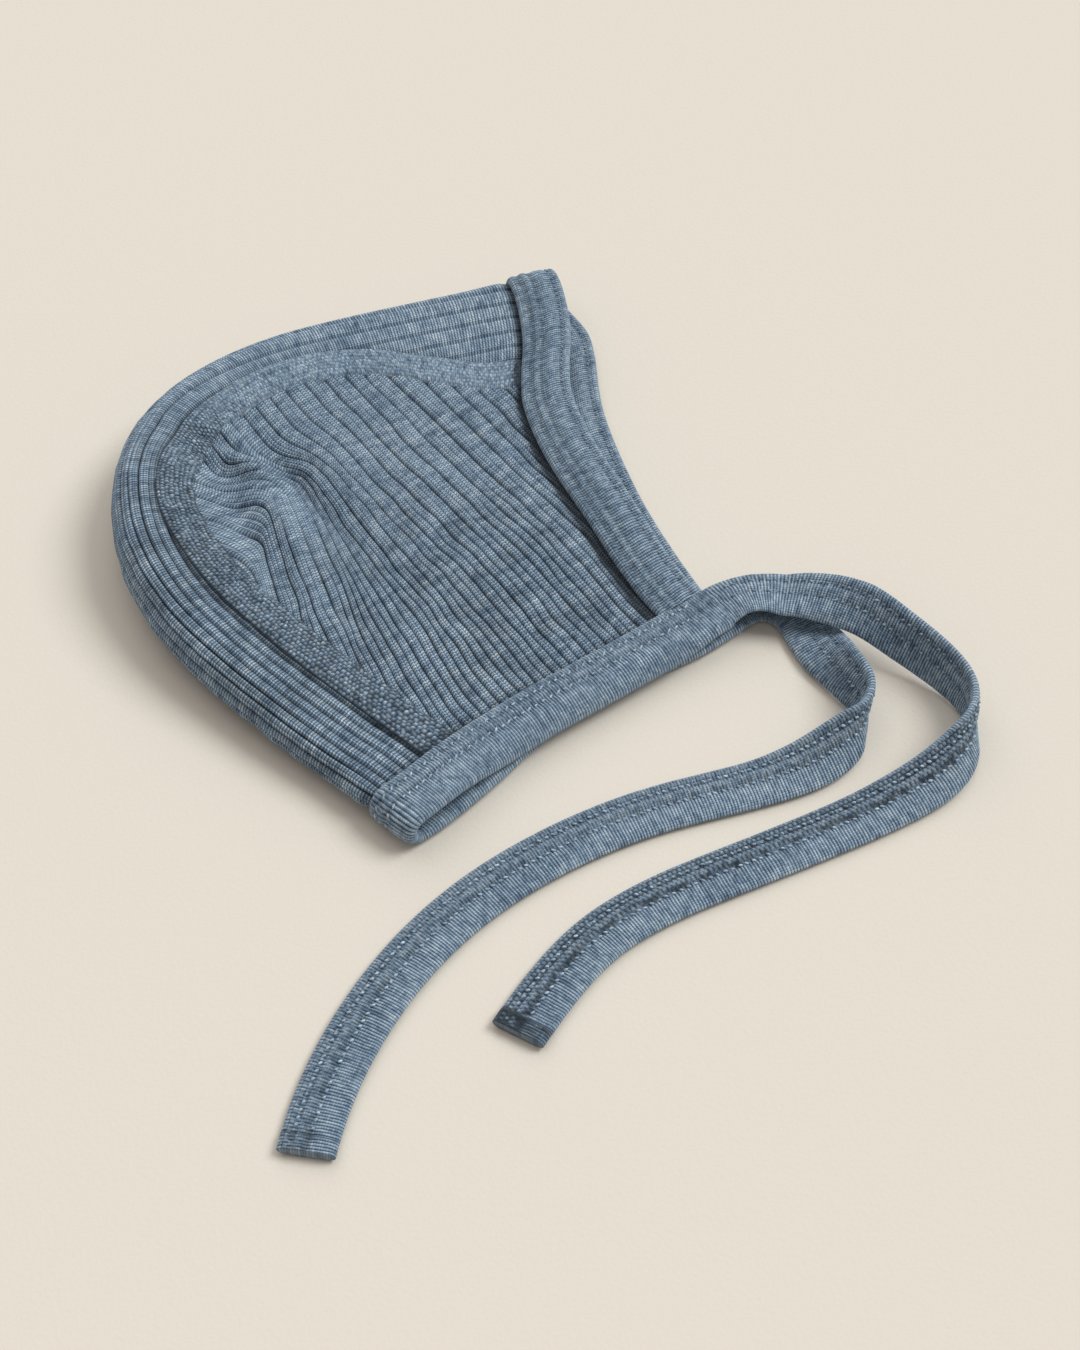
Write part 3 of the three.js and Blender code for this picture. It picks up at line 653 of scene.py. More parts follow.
# %% How the ribs lean
LEAN_MOST = 25.0
LEAN_REACH = 33.0
LEAN_FROM = 20.0
LEAN_RISE = 80.0
BACK_RIB = 7.0
TURN_HIGH = 107.0
TURN_LOW = 103.7
TURN_SHARE = 0.65


def rib_lean(rib, high):
    """How far a rib is pushed along the neck line at a height over the neck line. The ribs near the
    crown lean forward as they rise, by up to 25 mm, and turn back into the seam at their top. The
    turn starts lower, and takes longer, for the ribs at the very back. The bare numbers were set to
    how the ribs bend, and wander keeps them from being quite straight."""
    push = LEAN_MOST * np.exp(-(np.maximum(rib - 6, 0) / LEAN_REACH) ** 2)
    push += 0.4 * np.maximum(BACK_RIB - rib, 0)
    rising = np.clip((high - LEAN_FROM) / LEAN_RISE, 0, 1) ** 1.25
    front = TURN_HIGH - (TURN_HIGH - TURN_LOW) * np.exp(-np.maximum(rib - BACK_RIB, 0) / 7)
    turn_high = np.where(rib < BACK_RIB, TURN_LOW + 1.2 * (rib - BACK_RIB), front)
    turned = smooth((high - turn_high + 3) / (15 + 11 * smooth((12 - rib) / 14)))
    wander = 0.9 * uneven(rib / 9.0, high / 24.0, 11) + 0.35 * uneven(rib / 5.0, high / 7.0, 12)
    return wander - push * rising * (1 - TURN_SHARE * turned)


def panel_plan(rib, high):
    """From flat-cloth place (along the neck line, up from it) to the plan."""
    along = rib - rib_lean(rib, high)
    return NAPE + neck_line * along[..., None] + neck_normal * high[..., None]


def panel_place(plan):
    """The other way round: the rib whose lean brings it to the plan's place, found by halving."""
    along = (plan - NAPE) @ neck_line
    high = (plan - NAPE) @ neck_normal
    less, more = along - 60, along + 10
    for _ in range(30):
        rib = (less + more) / 2
        short = rib - rib_lean(rib, high) < along
        less = np.where(short, rib, less)
        more = np.where(short, more, rib)
    return rib, high


# %% The groove beside the bindings
GROOVE_WIDTH = 1.5
GROOVE_DEPTH = 0.8
# GROOVE_SHADE paints the shadow under a binding's inner lip into the groove.
GROOVE_SHADE = 1.3
NECK_GROOVE_SHARE = 0.3


def binding_groove(plan, side):
    """From 0 to 1, how far the cloth is pressed down along a binding's inner edge: exp(-x^2). The neck
    binding is sewn flatter than the face binding, so it presses less."""
    along_neck = (plan - NAPE) @ neck_line
    along_face = (plan - FOREHEAD) @ face_line
    from_neck = (plan - NAPE) @ neck_normal - edge_inset(NECK_EDGE, neck_length, side, along_neck)
    from_face = (plan - FOREHEAD) @ face_inward - edge_inset(FACE_EDGE, face_length, side, along_face)
    gap = np.maximum(np.stack([from_neck, from_face]) - BINDING_WIDTH + EDGE_INSET, 0)
    neck, face = np.exp(-(gap / GROOVE_WIDTH) ** 2)
    return np.maximum(NECK_GROOVE_SHARE * neck, face)


# %% The side panels' grid
PANEL_ROWS = 118
UNDER_SEAM = 4.0
UNDER_BINDING = 6.0
FIRST_FURROW = 23.4


def even_heights(rib, start, end):
    """Heights down each column that are evenly spaced along the leaning rib, not straight up."""
    fine = mix(start, end, np.linspace(0, 1, 400)[:, None])
    line = panel_plan(np.broadcast_to(rib, fine.shape), fine)
    run = np.cumsum(np.linalg.norm(np.diff(line, axis=0), axis=-1), 0)
    run = np.concatenate([np.zeros((1, len(rib))), run])
    even = np.linspace(0, 1, PANEL_ROWS)[:, None] * run[-1]
    return np.stack([np.interp(even[:, k], run[:, k], fine[:, k]) for k in range(len(rib))], 1)


def side_panel(side):
    """Outer and inner grids of a side panel, their flat places and their painted shade. Its edge is
    followed
    from the rib furthest back: down the seam, along the neck and up the face, and for the columns'
    tops up the seam."""
    u = np.linspace(0, 1, 401)
    seam_rib, seam_high = panel_place(crown_plan(side, u, seam_inner(u) - UNDER_SEAM))
    turn = int(seam_rib.argmin())
    neck_d = np.linspace(seam_inner(np.array(1.0)) - UNDER_SEAM, neck_length, 80)
    neck = panel_place(neck_plan(side, neck_d, np.full(80, UNDER_BINDING)))
    face_d = np.linspace(face_length, seam_inner(np.array(0.0)) - UNDER_SEAM, 120)
    face = panel_place(face_plan(side, face_d, np.full(120, UNDER_BINDING)))
    before_face = neck[0] < face[0].min()
    over_neck = face[1] > neck[1][before_face][-1]
    low_rib = np.concatenate([seam_rib[turn:], neck[0][before_face], face[0][over_neck]])
    low_rib = np.maximum.accumulate(low_rib)
    low_high = np.concatenate([seam_high[turn:], neck[1][before_face], face[1][over_neck]])
    top_rib = np.maximum.accumulate(seam_rib[:turn + 1][::-1])
    top_high = seam_high[:turn + 1][::-1]
    step = WALE / 4
    first = math.ceil((seam_rib[turn] + 0.3 - FIRST_FURROW) / step)
    final = math.floor((min(top_rib[-1], low_rib[-1]) - 0.3 - FIRST_FURROW) / step)
    rib = FIRST_FURROW + step * np.arange(first, final + 1)
    start = np.interp(rib, low_rib, low_high)
    end = np.maximum(np.interp(rib, top_rib, top_high), start + 0.2)
    high = even_heights(rib, start, end)
    rib = np.broadcast_to(rib, high.shape)
    middle = cloth_point(panel_plan(rib, high), side)
    steps = np.linalg.norm(np.diff(middle, axis=0), axis=-1)
    course = start + np.concatenate([np.zeros((1, len(start))), np.cumsum(steps, 0)])
    normal = grid_normals(middle)
    if normal[..., 2].mean() * side < 0:
        normal = -normal
    # A rib's middle furrow is nearly as deep as its edges near the neck, and fades further up.
    firm = 0.78 - 0.36 * smooth((high - 55) / 35) + 0.14 * uneven(rib / 11, high / 25, 21)
    relief = rib_relief((rib - FIRST_FURROW) / WALE, firm)
    relief += crinkle(rib, high, 22) * smooth((130 - high) / 60)
    groove = binding_groove(middle[..., :2], side)
    outer = middle + normal * (CLOTH / 2 + relief - GROOVE_DEPTH * groove)[..., None]
    inner = middle - normal * (CLOTH / 2)
    # Painted shade in the rib furrows and painted shadow in the groove beside the bindings. Higher up it is
    # weaker: the ribs lie flatter there, and the upper cloth reads lighter, as where more light falls.
    shade_and_tone = -relief / 1.25 + GROOVE_SHADE * groove
    shade_and_tone *= 1 - 0.4 * smooth((high - 70) / 30)
    return outer, inner, np.stack([rib - FIRST_FURROW, course], -1), shade_and_tone


# %% Make both side panels
def add_side_panel(name, side):
    outer, inner, flat, shade_and_tone = side_panel(side)
    points, faces, uv = sheet_mesh(outer, inner, flat)
    shade_and_tone = np.tile(shade_and_tone.ravel(), 2)
    piece = make_piece(name + "_cloth", points, faces, uv, shade_and_tone, rib_wool, name)
    declare_sheet(piece, flat)


add_side_panel("side_panel_right", UPPER)
add_side_panel("side_panel_left", LOWER)

# %% [markdown]
# ## Centre panel
# The centre panel's ribs run the long way, from the forehead over the head to the nape. Its cloth
# bends round the fold, so places across it are measured along the curve of the cloth and not in the
# plan. It narrows at the back of the head, where its outer ribs run out under the seam: the grid's
# columns are held back to the seam's line there, and what that leaves with no area is merged away.

# %% The centre panel's grid
CENTRE_ROWS = 210
CURVE_SAMPLES = 36


def signed_places(depth, reach):
    """Distances from the fold, negative on the lower layer: even in angle round the curve, then even."""
    bend = 1 - np.cos(np.linspace(0, np.pi / 2, CURVE_SAMPLES // 2 + 1))
    upper = np.concatenate([depth * bend[:-1], np.linspace(depth, reach, CURVE_SAMPLES)])
    return np.concatenate([-upper[:0:-1], upper])


def lengths(points):
    """Length along a line of points, from its first."""
    return np.concatenate([[0], np.cumsum(np.linalg.norm(np.diff(points, axis=0), axis=-1))])


def centre_row(u, columns):
    """One row across the centre panel: signed distances from the fold for places along the cloth."""
    reach = float(seam_outer(u)) + UNDER_SEAM
    places = signed_places(float(fold_depth(u)), reach)
    side = np.where(places < 0, LOWER, UPPER)
    many = np.full(places.shape, u)
    line = cloth_point(crown_plan(side, many, np.abs(places)), side, np.abs(places))
    far = lengths(line)
    far -= np.interp(0, places, far)
    held = np.clip(columns, far[0], far[-1])
    return np.interp(held, far, places), held


# %% The centre panel's two faces
PAST_THE_SEAM = 12


def centre_panel():
    """The middle grid of the centre panel, its normals, relief, painted shade and flat places. Points that
    the seam holds back to one place borrow the normal of the next point that has one."""
    half = math.ceil((CENTRE_HALF_WIDTH + PAST_THE_SEAM) / (WALE / 4))
    columns = np.arange(-half, half + 1) * WALE / 4
    u = np.linspace(0, 1, CENTRE_ROWS)
    rows = [centre_row(np.array(share), columns) for share in u]
    places = np.array([row[0] for row in rows])
    held = np.array([row[1] for row in rows])
    side = np.where(places < 0, LOWER, UPPER)
    share = np.broadcast_to(u[:, None], places.shape)
    middle = cloth_point(crown_plan(side, share, np.abs(places)), side, np.abs(places))
    away = np.cross(np.gradient(middle, axis=1), np.gradient(middle, axis=0))
    length = np.linalg.norm(away, axis=-1, keepdims=True)
    normal = away / np.maximum(length, 1e-9)
    edge = (length[..., 0] < 1e-7)
    for step in (1, -1):
        order = range(1, len(columns)) if step == 1 else range(len(columns) - 2, -1, -1)
        for j in order:
            normal[:, j] = np.where(edge[:, j, None], normal[:, j - step], normal[:, j])
    wales = (held + WALES_PER_RIB * WALE / 2) / WALE
    firm = 0.5 + 0.35 * smooth((share - 0.45) / 0.2)
    relief = rib_relief(wales, firm, depth=0.9, swell=0.4)
    relief += crinkle(held, share * crown_length, 32) * smooth((share - 0.3) / 0.3)
    # The cloth dips where it runs under the seam, and the dip is painted with shade.
    to_seam = seam_outer(share) - np.abs(places)
    gap = np.exp(-(np.maximum(to_seam, 0) / 1.3) ** 2) * (0.4 + 0.6 * smooth((share - 0.45) / 0.2))
    groove = binding_groove(middle[..., :2], side)
    # Painted shade in the rib furrows, weaker towards the forehead: the ribs lie flatter there, and that
    # end reads lighter, as where more light falls. Painted shadow in the groove beside the bindings.
    shade_and_tone = -relief / 1.15 * (0.55 + 0.45 * smooth((share - 0.3) / 0.25))
    shade_and_tone += 0.6 * gap + GROOVE_SHADE * groove
    relief = relief - 0.4 * gap - GROOVE_DEPTH * groove
    return middle, normal, relief, shade_and_tone, np.stack([held, share * crown_length], -1)


# %% Make the centre panel
middle, normal, relief, shade_and_tone, flat = centre_panel()
high_spot = middle[..., 2].argmax()
if normal.reshape(-1, 3)[high_spot, 2] < 0:
    normal = -normal
outer = middle + normal * (CLOTH / 2 + relief)[..., None]
inner = middle - normal * (CLOTH / 2)
points, faces, uv = sheet_mesh(outer, inner, flat)
centre_piece = make_piece("centre_panel_cloth", points, faces, uv, np.tile(shade_and_tone.ravel(), 2), rib_wool,
                          "centre_panel")
declare_sheet(centre_piece, flat)


# %% Merge what the held columns left with no area
def merge_doubles(piece, distance=1e-6):
    """Welds points that lie on each other and drops the faces that this leaves with no area."""
    work = bmesh.new()
    work.from_mesh(piece.data)
    bmesh.ops.remove_doubles(work, verts=work.verts, dist=distance)
    bmesh.ops.dissolve_degenerate(work, edges=work.edges, dist=distance)
    work.to_mesh(piece.data)
    work.free()
    print(piece.name, "keeps", len(piece.data.polygons), "faces")


merge_doubles(centre_piece)

# %% [markdown]
# ## Seam bands
# The panels are joined by a flat seam about 10 mm wide. Its looping threads cover the cut edges and
# look like rows of small purl bumps, which grow coarser towards the nape.

# %% The seam bands
SEAM_ROWS = 1250
SEAM_COLUMNS = 36
SEAM_PITCH = 1.35
SEAM_LINE = 1.15
SEAM_LIFT = 0.18
RIM_DROP = 0.40
NEEDLE_ROWS = (2.9, 6.3)


def seam_relief(along, across, u):
    """Rows of loops set like bricks: |sin| along times |sin| across, each pushed about a little, on a
    band that thins out at its edges. Two rows stand higher, where the needles went through. The
    loops are coarser towards the nape. Gives the height, and the painted shade between the loops."""
    coarse = 0.60 + 0.40 * smooth((u - 0.30) / 0.25)
    line = across / SEAM_LINE + 0.28 * uneven(along / 1.9, across / 1.5, 41)
    push = 0.30 * uneven(along / 2.3, across / 1.3, 42) + 0.5 * (np.floor(line) % 2)
    loop = np.abs(np.sin(np.pi * (along / SEAM_PITCH + push))) ** 0.7
    loop = loop * np.abs(np.sin(np.pi * line)) ** 0.6
    loop = loop * (0.8 + 0.35 * uneven(along / 1.1, across / 0.9, 43))
    rim = np.minimum(across, SEAM_WIDTH - across)
    body = smooth(rim / 2.0)
    lumps = 0.22 * uneven(along / 3.4, across / 2.6, 44)
    needle = sum(np.exp(-((across - row) / 0.55) ** 2) for row in NEEDLE_ROWS)
    knobby = smooth(rim / 0.7)
    height = body * (SEAM_LIFT + lumps) - RIM_DROP * (1 - body)
    height += knobby * loop * (0.75 * coarse + 0.15 * needle)
    # Painted shade between the loops, deeper where they are coarser.
    shade_and_tone = 1.20 * (1 - loop * knobby) * (0.15 + 0.85 * coarse)
    return height, shade_and_tone


# %% Make both seam bands
def add_seam_band(name, side):
    """A band of cloth along the fold, its outer edge at the centre panel's, on one layer."""
    u = np.linspace(0, 1, SEAM_ROWS)[:, None]
    across = np.linspace(0, SEAM_WIDTH, SEAM_COLUMNS)[None]
    u, across = np.broadcast_arrays(u, across)
    distance = seam_outer(u) + across
    middle = cloth_point(crown_plan(side, u, distance), side)
    normal = grid_normals(middle)
    if normal[..., 2].mean() * side < 0:
        normal = -normal
    along = u * crown_length
    relief, shade_and_tone = seam_relief(along, across, u)
    groove = binding_groove(middle[..., :2], side)
    # Painted shadow in the groove beside the bindings.
    shade_and_tone = shade_and_tone + GROOVE_SHADE * groove
    outer = middle + normal * (CLOTH / 2 + relief - GROOVE_DEPTH * groove)[..., None]
    inner = middle - normal * (CLOTH / 2)
    flat = np.stack([across, along], -1)
    points, faces, uv = sheet_mesh(outer, inner, flat)
    shade_and_tone = np.concatenate([shade_and_tone.ravel(), np.zeros(shade_and_tone.size)])
    piece = make_piece(name + "_cloth", points, faces, uv, shade_and_tone, seam_wool, name)
    declare_sheet(piece, flat)


add_seam_band("seam_band_right", UPPER)
add_seam_band("seam_band_left", LOWER)

# %% [markdown]
# ## Bindings
# A strip of finer rib is folded over the raw edge and sewn through. It is a flattened tube carried
# along the edge: its wales run across it, so fine ridges cross it, and the sewing pulls in two or
# three long furrows. It turns round the fold with the cloth.

# %% The bindings' tubes
BAND_STEP = 0.20
PULL_WIDTH = 0.9
ACROSS_COUNT = 29
KNOB_PITCH = 1.25
KNOB_LINE = 1.15


def band_outline(width, half, squareness=6.0):
    """Places across a band and the half thickness there: (1 - |s|^n)^(1/2), s from -1 to 1."""
    s = -np.cos(np.linspace(0, np.pi, ACROSS_COUNT))
    s = np.sign(s) * np.abs(s) ** 0.85
    return (s + 1) / 2 * width, half * np.sqrt(np.maximum(0, 1 - np.abs(s) ** squareness))


def band_tube(middle, normal, up_off, down_off, across, along):
    """Rings of a tube from grids of middle points: up one face and back down the other."""
    up = middle + normal * up_off[..., None]
    down = middle - normal * down_off[..., None]
    rings = np.concatenate([up, down[:, -2:0:-1]], 1)
    around = np.concatenate([across, across[:, -2:0:-1]], 1)
    flat = np.stack([np.broadcast_to(along[:, None], around.shape), around], -1)
    return rings, flat


STATION_LINE = 5.0


def binding_stations(depth, reach, plan_at, step=BAND_STEP):
    """Signed distances from the fold, even along the cloth a few millimetres in from its edge."""
    places = signed_places(depth, reach)
    side = np.where(places < 0, LOWER, UPPER)
    line_at = np.full(places.shape, STATION_LINE)
    line = cloth_point(plan_at(side, np.abs(places), line_at), side, np.abs(places))
    far = lengths(line)
    even = np.arange(0, far[-1], step)
    return np.interp(even, far, places), even


# %% Cross ribs, furrows and knobs
def band_relief(along, across, rows, knobs, furrow, depth=0.34):
    """Cross ridges |sin(pi along / wale)|, less a soft furrow exp(-x^2) at each row of stitches, which
    puckers the cloth. knobs = (from, to, strength): between those places across, the ridges give way
    to the knobbly backs of the stitches, |sin| along times |sin| across. Gives height, and painted
    shade between the ridges and knobs and in the furrows."""
    wander = 0.25 * uneven(along / 9.0, across / 5.0, 51)
    ridge = np.abs(np.sin(np.pi * (along / BAND_WALE + wander))) ** 1.2
    pulled = sum(np.exp(-((across - row) / PULL_WIDTH) ** 2) for row in rows)
    pucker = 0.16 * uneven(along / 2.8, across / 3.2, 52) + 0.10 * uneven(along / 7.0, across / 5.0, 53)
    low, high, strength = knobs
    line = across / KNOB_LINE + 0.2 * uneven(along / 2.0, across / 2.0, 54)
    knob = np.abs(np.sin(np.pi * (along / KNOB_PITCH + 0.5 * (np.floor(line) % 2) + wander))) ** 0.7
    knob = knob * np.abs(np.sin(np.pi * line)) ** 0.6
    share = strength * smooth((across - low + 0.5) / 1.0) * smooth((high + 0.5 - across) / 1.0)
    height = mix(depth * (ridge - 1), 1.5 * depth * (knob - 0.6), share)
    # Painted shade between the ridges and knobs, and in the stitched furrows.
    shade_and_tone = mix(1.10 * (1 - ridge), 0.15 + 1.1 * (1 - knob), share)
    return height - furrow * pulled + pucker, shade_and_tone + 0.5 * furrow * pulled


# %% The mesh of a band
def add_band(name, middle, normal, thick, rows, across, along, knobs=(0, 0, 0), front_share=1.0, hem=0,
             furrow=0.34):
    """The mesh of a binding or tie, and what its stitches need to know of its surface. The knobs are
    front_share as strong on the face that is up where the band starts."""
    across = np.broadcast_to(across, middle.shape[:2])
    thick = np.broadcast_to(thick, middle.shape[:2])
    front = (knobs[0], knobs[1], knobs[2] * front_share)
    up_relief, up_painted_shade = band_relief(along[:, None], across, rows, front, furrow)
    down_relief, down_painted_shade = band_relief(along[:, None], across, rows, knobs, furrow)
    held = np.minimum(1, thick / thick[0].max())
    up_off, down_off = thick + up_relief * held, thick + down_relief * held
    rings, flat = band_tube(middle, normal, up_off, down_off, across, along)
    points, faces, uv = tube_mesh(rings, flat)
    # Painted shade of the band's relief on both faces, plus the hem's darkening.
    shade_and_tone = np.concatenate([up_painted_shade + hem, (down_painted_shade + hem)[:, -2:0:-1]], 1).ravel()
    piece = make_piece(name + "_cloth", points, faces, uv, shade_and_tone, band_wool, name)
    surface = {"middle": middle, "normal": normal, 1: up_off, -1: down_off,
               "across": across[0], "along": along}
    return piece, surface


def add_binding(name, depth, reach, plan_at, rows, furrow):
    """A band over the cloth's edge, from one end on the lower layer round the fold to the other.
    plan_at gives the plan for a side, a distance along the edge and a place across the band."""
    places, along = binding_stations(depth, reach, plan_at)
    side = np.where(places < 0, LOWER, UPPER)
    across, thick = band_outline(BINDING_WIDTH, BINDING_HALF)
    reached = np.abs(places)
    grid = [cloth_point(plan_at(side, reached, np.full(places.shape, a - EDGE_INSET)), side, reached)
            for a in across]
    middle = np.stack(grid, 1)
    normal = grid_normals(middle)
    if normal[side > 0][..., 2].mean() < 0:
        normal = -normal
    return add_band(name, middle, normal, thick, rows, across, along, BINDING_KNOBS, furrow=furrow)


# %% Where the bindings meet at the chin
BINDING_OVERLAP = 1.2
CORNER_SPARE = 1.5
BINDING_KNOBS = (7.6, 13.0, 0.35)
FACE_ROWS = (2.5, 7.6, 11.1)
NECK_ROWS = (7.6, 11.3)


def face_stop(side, across):
    """Down the face line to where the face binding meets the neck binding, found by halving."""
    near = np.full(np.shape(across), face_length / 2)
    far = np.full(np.shape(across), face_length)
    for _ in range(30):
        half = (near + far) / 2
        plan = face_plan(side, half, across)
        along = (plan - NAPE) @ neck_line
        rise = (plan - NAPE) @ neck_normal - edge_inset(NECK_EDGE, neck_length, side, along)
        clear = rise > BINDING_WIDTH - EDGE_INSET - BINDING_OVERLAP
        near = np.where(clear, half, near)
        far = np.where(clear, far, half)
    return near


face_reach = float(face_stop(UPPER, np.array(0.0)))
neck_corner = {}
for layer in (UPPER, LOWER):
    stop = face_stop(layer, np.array(0.0)) - CORNER_SPARE
    corner = face_plan(layer, stop, np.array(0.0)) - CHIN
    neck_corner[layer] = neck_length + EDGE_INSET + max(0.0, float(corner @ neck_line))
neck_reach = neck_corner[UPPER]


def face_binding_plan(side, distance, across):
    stop = face_stop(side, across)
    return face_plan(side, distance * stop / face_reach, across)


def neck_binding_plan(side, distance, across):
    stop = np.where(side > 0, neck_corner[UPPER], neck_corner[LOWER])
    return neck_plan(side, distance * stop / neck_reach, across)


# %% Make both bindings
face_band, face_surface = add_binding(
    "face_binding", float(fold_depth(np.array(0.0))), face_reach, face_binding_plan, FACE_ROWS, 0.50)
neck_band, neck_surface = add_binding(
    "neck_binding", float(fold_depth(np.array(1.0))), neck_reach, neck_binding_plan, NECK_ROWS, 0.34)

# %% [markdown]
# ## Ties
# Each tie is the same strip as the binding, run on from the chin corner. A table gives its heading,
# its tilt and how far it is held off the table, and the path is the running sum of small steps.

# %% The ties' tables
RIGHT_TIE = table("along heading tilt lift", [
    (0.00, 0, 0, 0.39), (0.035, -22, -9, 0.40), (0.07, -43, -4, 0.42), (0.11, -59, 12, 0.46),
    (0.145, -67, 28, 0.47), (0.18, -71, 42, 0.43), (0.23, -77, 56, 0.18), (0.285, -88, 68, 0.03),
    (0.325, -109, 80, 0.00), (0.365, -139, 100, 0.00), (0.405, -166, 130, 0.00),
    (0.455, -186, 158, 0.00), (0.53, -192, 176, 0.00), (0.64, -194, 180, 0.00),
    (0.74, -193, 180, 0.00), (0.82, -184, 180, 0.00), (0.90, -168, 180, 0.00), (1.00, -158, 180, 0.00),
])
LEFT_TIE = table("along heading tilt lift", [
    (0.00, 0, 0, 0.04), (0.028, -12, 1, 0.02), (0.053, -48, 3, 0.00), (0.078, -80, 4, 0.00),
    (0.10, -104, 6, 0.00), (0.125, -109, 11, 0.00), (0.15, -106, 27, 0.00), (0.18, -100, 50, 0.00),
    (0.205, -101, 60, 0.00), (0.23, -124, 76, 0.00), (0.255, -154, 98, 0.00), (0.28, -178, 130, 0.00),
    (0.325, -195, 162, 0.00), (0.375, -201, 178, 0.00), (0.45, -202, 180, 0.00),
    (0.53, -194, 180, 0.00), (0.65, -182, 180, 0.00), (0.79, -164, 180, 0.00), (0.91, -150, 180, 0.00),
    (1.00, -138, 180, 0.00),
])


# %% The ties' path
PATH_STEPS = 4000


def tie_frame(side, rows, length, share):
    """Middle, way across and way off the strap at shares of its length. The plan is the running sum
    of unit steps in the heading, and the height is what the tilted strap needs to rest."""
    fine = np.linspace(0, 1, PATH_STEPS + 1)
    neck_angle = math.atan2(neck_line[1], neck_line[0])

    def column(name, at):
        return read_rows(rows, "along", name, at)

    turn = neck_angle + np.radians(column("heading", (fine[1:] + fine[:-1]) / 2))
    steps = np.stack([np.cos(turn), np.sin(turn)], -1) * (length / PATH_STEPS)
    middle = BINDING_WIDTH / 2 - EDGE_INSET
    start = neck_plan(side, np.array(neck_corner[side] - 0.5), np.array(middle))
    path = start + np.concatenate([[[0, 0]], np.cumsum(steps, 0)])
    plan = np.stack([np.interp(share, fine, path[:, 0]), np.interp(share, fine, path[:, 1])], -1)
    heading = neck_angle + np.radians(column("heading", share))
    tilt = np.radians(column("tilt", share))

    def resting(at, lean):
        half = (np.abs(np.sin(lean)) * TIE_WIDTH + np.abs(np.cos(lean)) * TIE_THICKNESS) / 2
        return half + column("lift", at) * TIE_WIDTH

    rise = float(cloth_point(start, side)[2]) - resting(np.array(0.0), np.array(0.0))
    height = resting(share, tilt) + rise * (1 - smooth(share / TIE_SETTLE_SHARE))
    way = np.stack([np.cos(heading), np.sin(heading), np.zeros(len(share))], -1)
    across = np.stack([-way[:, 1] * np.cos(tilt), way[:, 0] * np.cos(tilt), np.sin(tilt)], -1)
    off = np.cross(way, across)
    return np.concatenate([plan, height[:, None]], -1), across, off, way


# %% Make both ties
TIE_ROWS = (2.9, 6.9)
TIE_KNOBS = (0.6, 6.9)
KNOBS_IN_FRONT = 0.15
HEM_SWELL = 0.3


def add_tie(name, side, rows, length, strength, hem_shade):
    """A strip of constant width along a tie's path. Its free end is folded once more into a hem.
    strength is that of the knobs on its back, and hem_shade darkens the hem."""
    share = np.linspace(0, 1, int(length / BAND_STEP) + 1)
    along = share * length
    centre, across_way, off, _ = tie_frame(side, rows, length, share)
    across, thick = band_outline(TIE_WIDTH, TIE_THICKNESS / 2)
    hem = smooth((along - (length - HEM_LENGTH - 0.3)) / 0.6)
    centre = centre + [0, 0, 1] * (HEM_SWELL * TIE_THICKNESS / 2 * hem)[:, None]
    place = TIE_WIDTH / 2 - across
    middle = centre[:, None] + across_way[:, None] * place[None, :, None]
    normal = np.broadcast_to(off[:, None], middle.shape)
    thick = thick[None] * (1 + HEM_SWELL * hem[:, None])
    # The hem's fold line is darkened, a painted shade in its crease; the whole hem is darker by hem_shade,
    # with blotches.
    fold_line = np.exp(-((along - length + HEM_LENGTH) / 0.5) ** 2)[:, None]
    blotch = 0.5 * uneven(along[:, None] / 2.2, across[None] / 3.0, 55)
    shaded = hem_shade * hem[:, None] * (1 + blotch) + 0.5 * fold_line
    return add_band(name, middle, normal, thick, TIE_ROWS, across, along, (*TIE_KNOBS, strength),
                    KNOBS_IN_FRONT, shaded)


tie_right, right_surface = add_tie("tie_right", UPPER, RIGHT_TIE, RIGHT_TIE_LENGTH, 0.95, 0.5)
tie_left, left_surface = add_tie("tie_left", LOWER, LEFT_TIE, LEFT_TIE_LENGTH, 0.50, 0.05)

# %% [markdown]
# ## Stitches
# Rows of stitches hold each folded strip. A stitch is a short slanted thread that lies in its furrow,
# pale where the light catches it. A thread could be one long winding curve, but only its short
# crossings show, so each of these is a small spindle, and the rows are joined in one mesh.

# %% The shape of a stitch
SPINDLE_RINGS = np.array([-0.97, -0.6, 0.0, 0.6, 0.97])
SPINDLE_SIDES = 6


def spindles(centre, way, side, up, long, wide):
    """Spindles along way: each ring is sqrt(1 - t^2) wide at a share t of the half length."""
    turn = np.linspace(0, 2 * np.pi, SPINDLE_SIDES, endpoint=False)
    round_share = np.sqrt(1 - SPINDLE_RINGS ** 2)[:, None] * wide / 2
    c, s = round_share * np.cos(turn), round_share * np.sin(turn)
    ahead = np.broadcast_to(SPINDLE_RINGS[:, None] * long / 2, c.shape)
    points = (centre[:, None, None] + way[:, None, None] * ahead[None, ..., None]
              + side[:, None, None] * c[None, ..., None] + up[:, None, None] * s[None, ..., None])
    count = len(SPINDLE_RINGS)
    index = np.arange(count * SPINDLE_SIDES).reshape(count, SPINDLE_SIDES)
    after = np.roll(index, -1, 1)
    quads = np.stack([index[:-1], after[:-1], after[1:], index[1:]], -1).reshape(-1, 4)
    offset = (np.arange(len(centre)) * index.size)[:, None, None]
    faces = [*(quads[None] + offset).reshape(-1, 4)]
    for cap in (index[0][::-1], index[-1]):
        faces += [*(cap[None] + offset[:, 0])]
    return points.reshape(-1, 3), faces


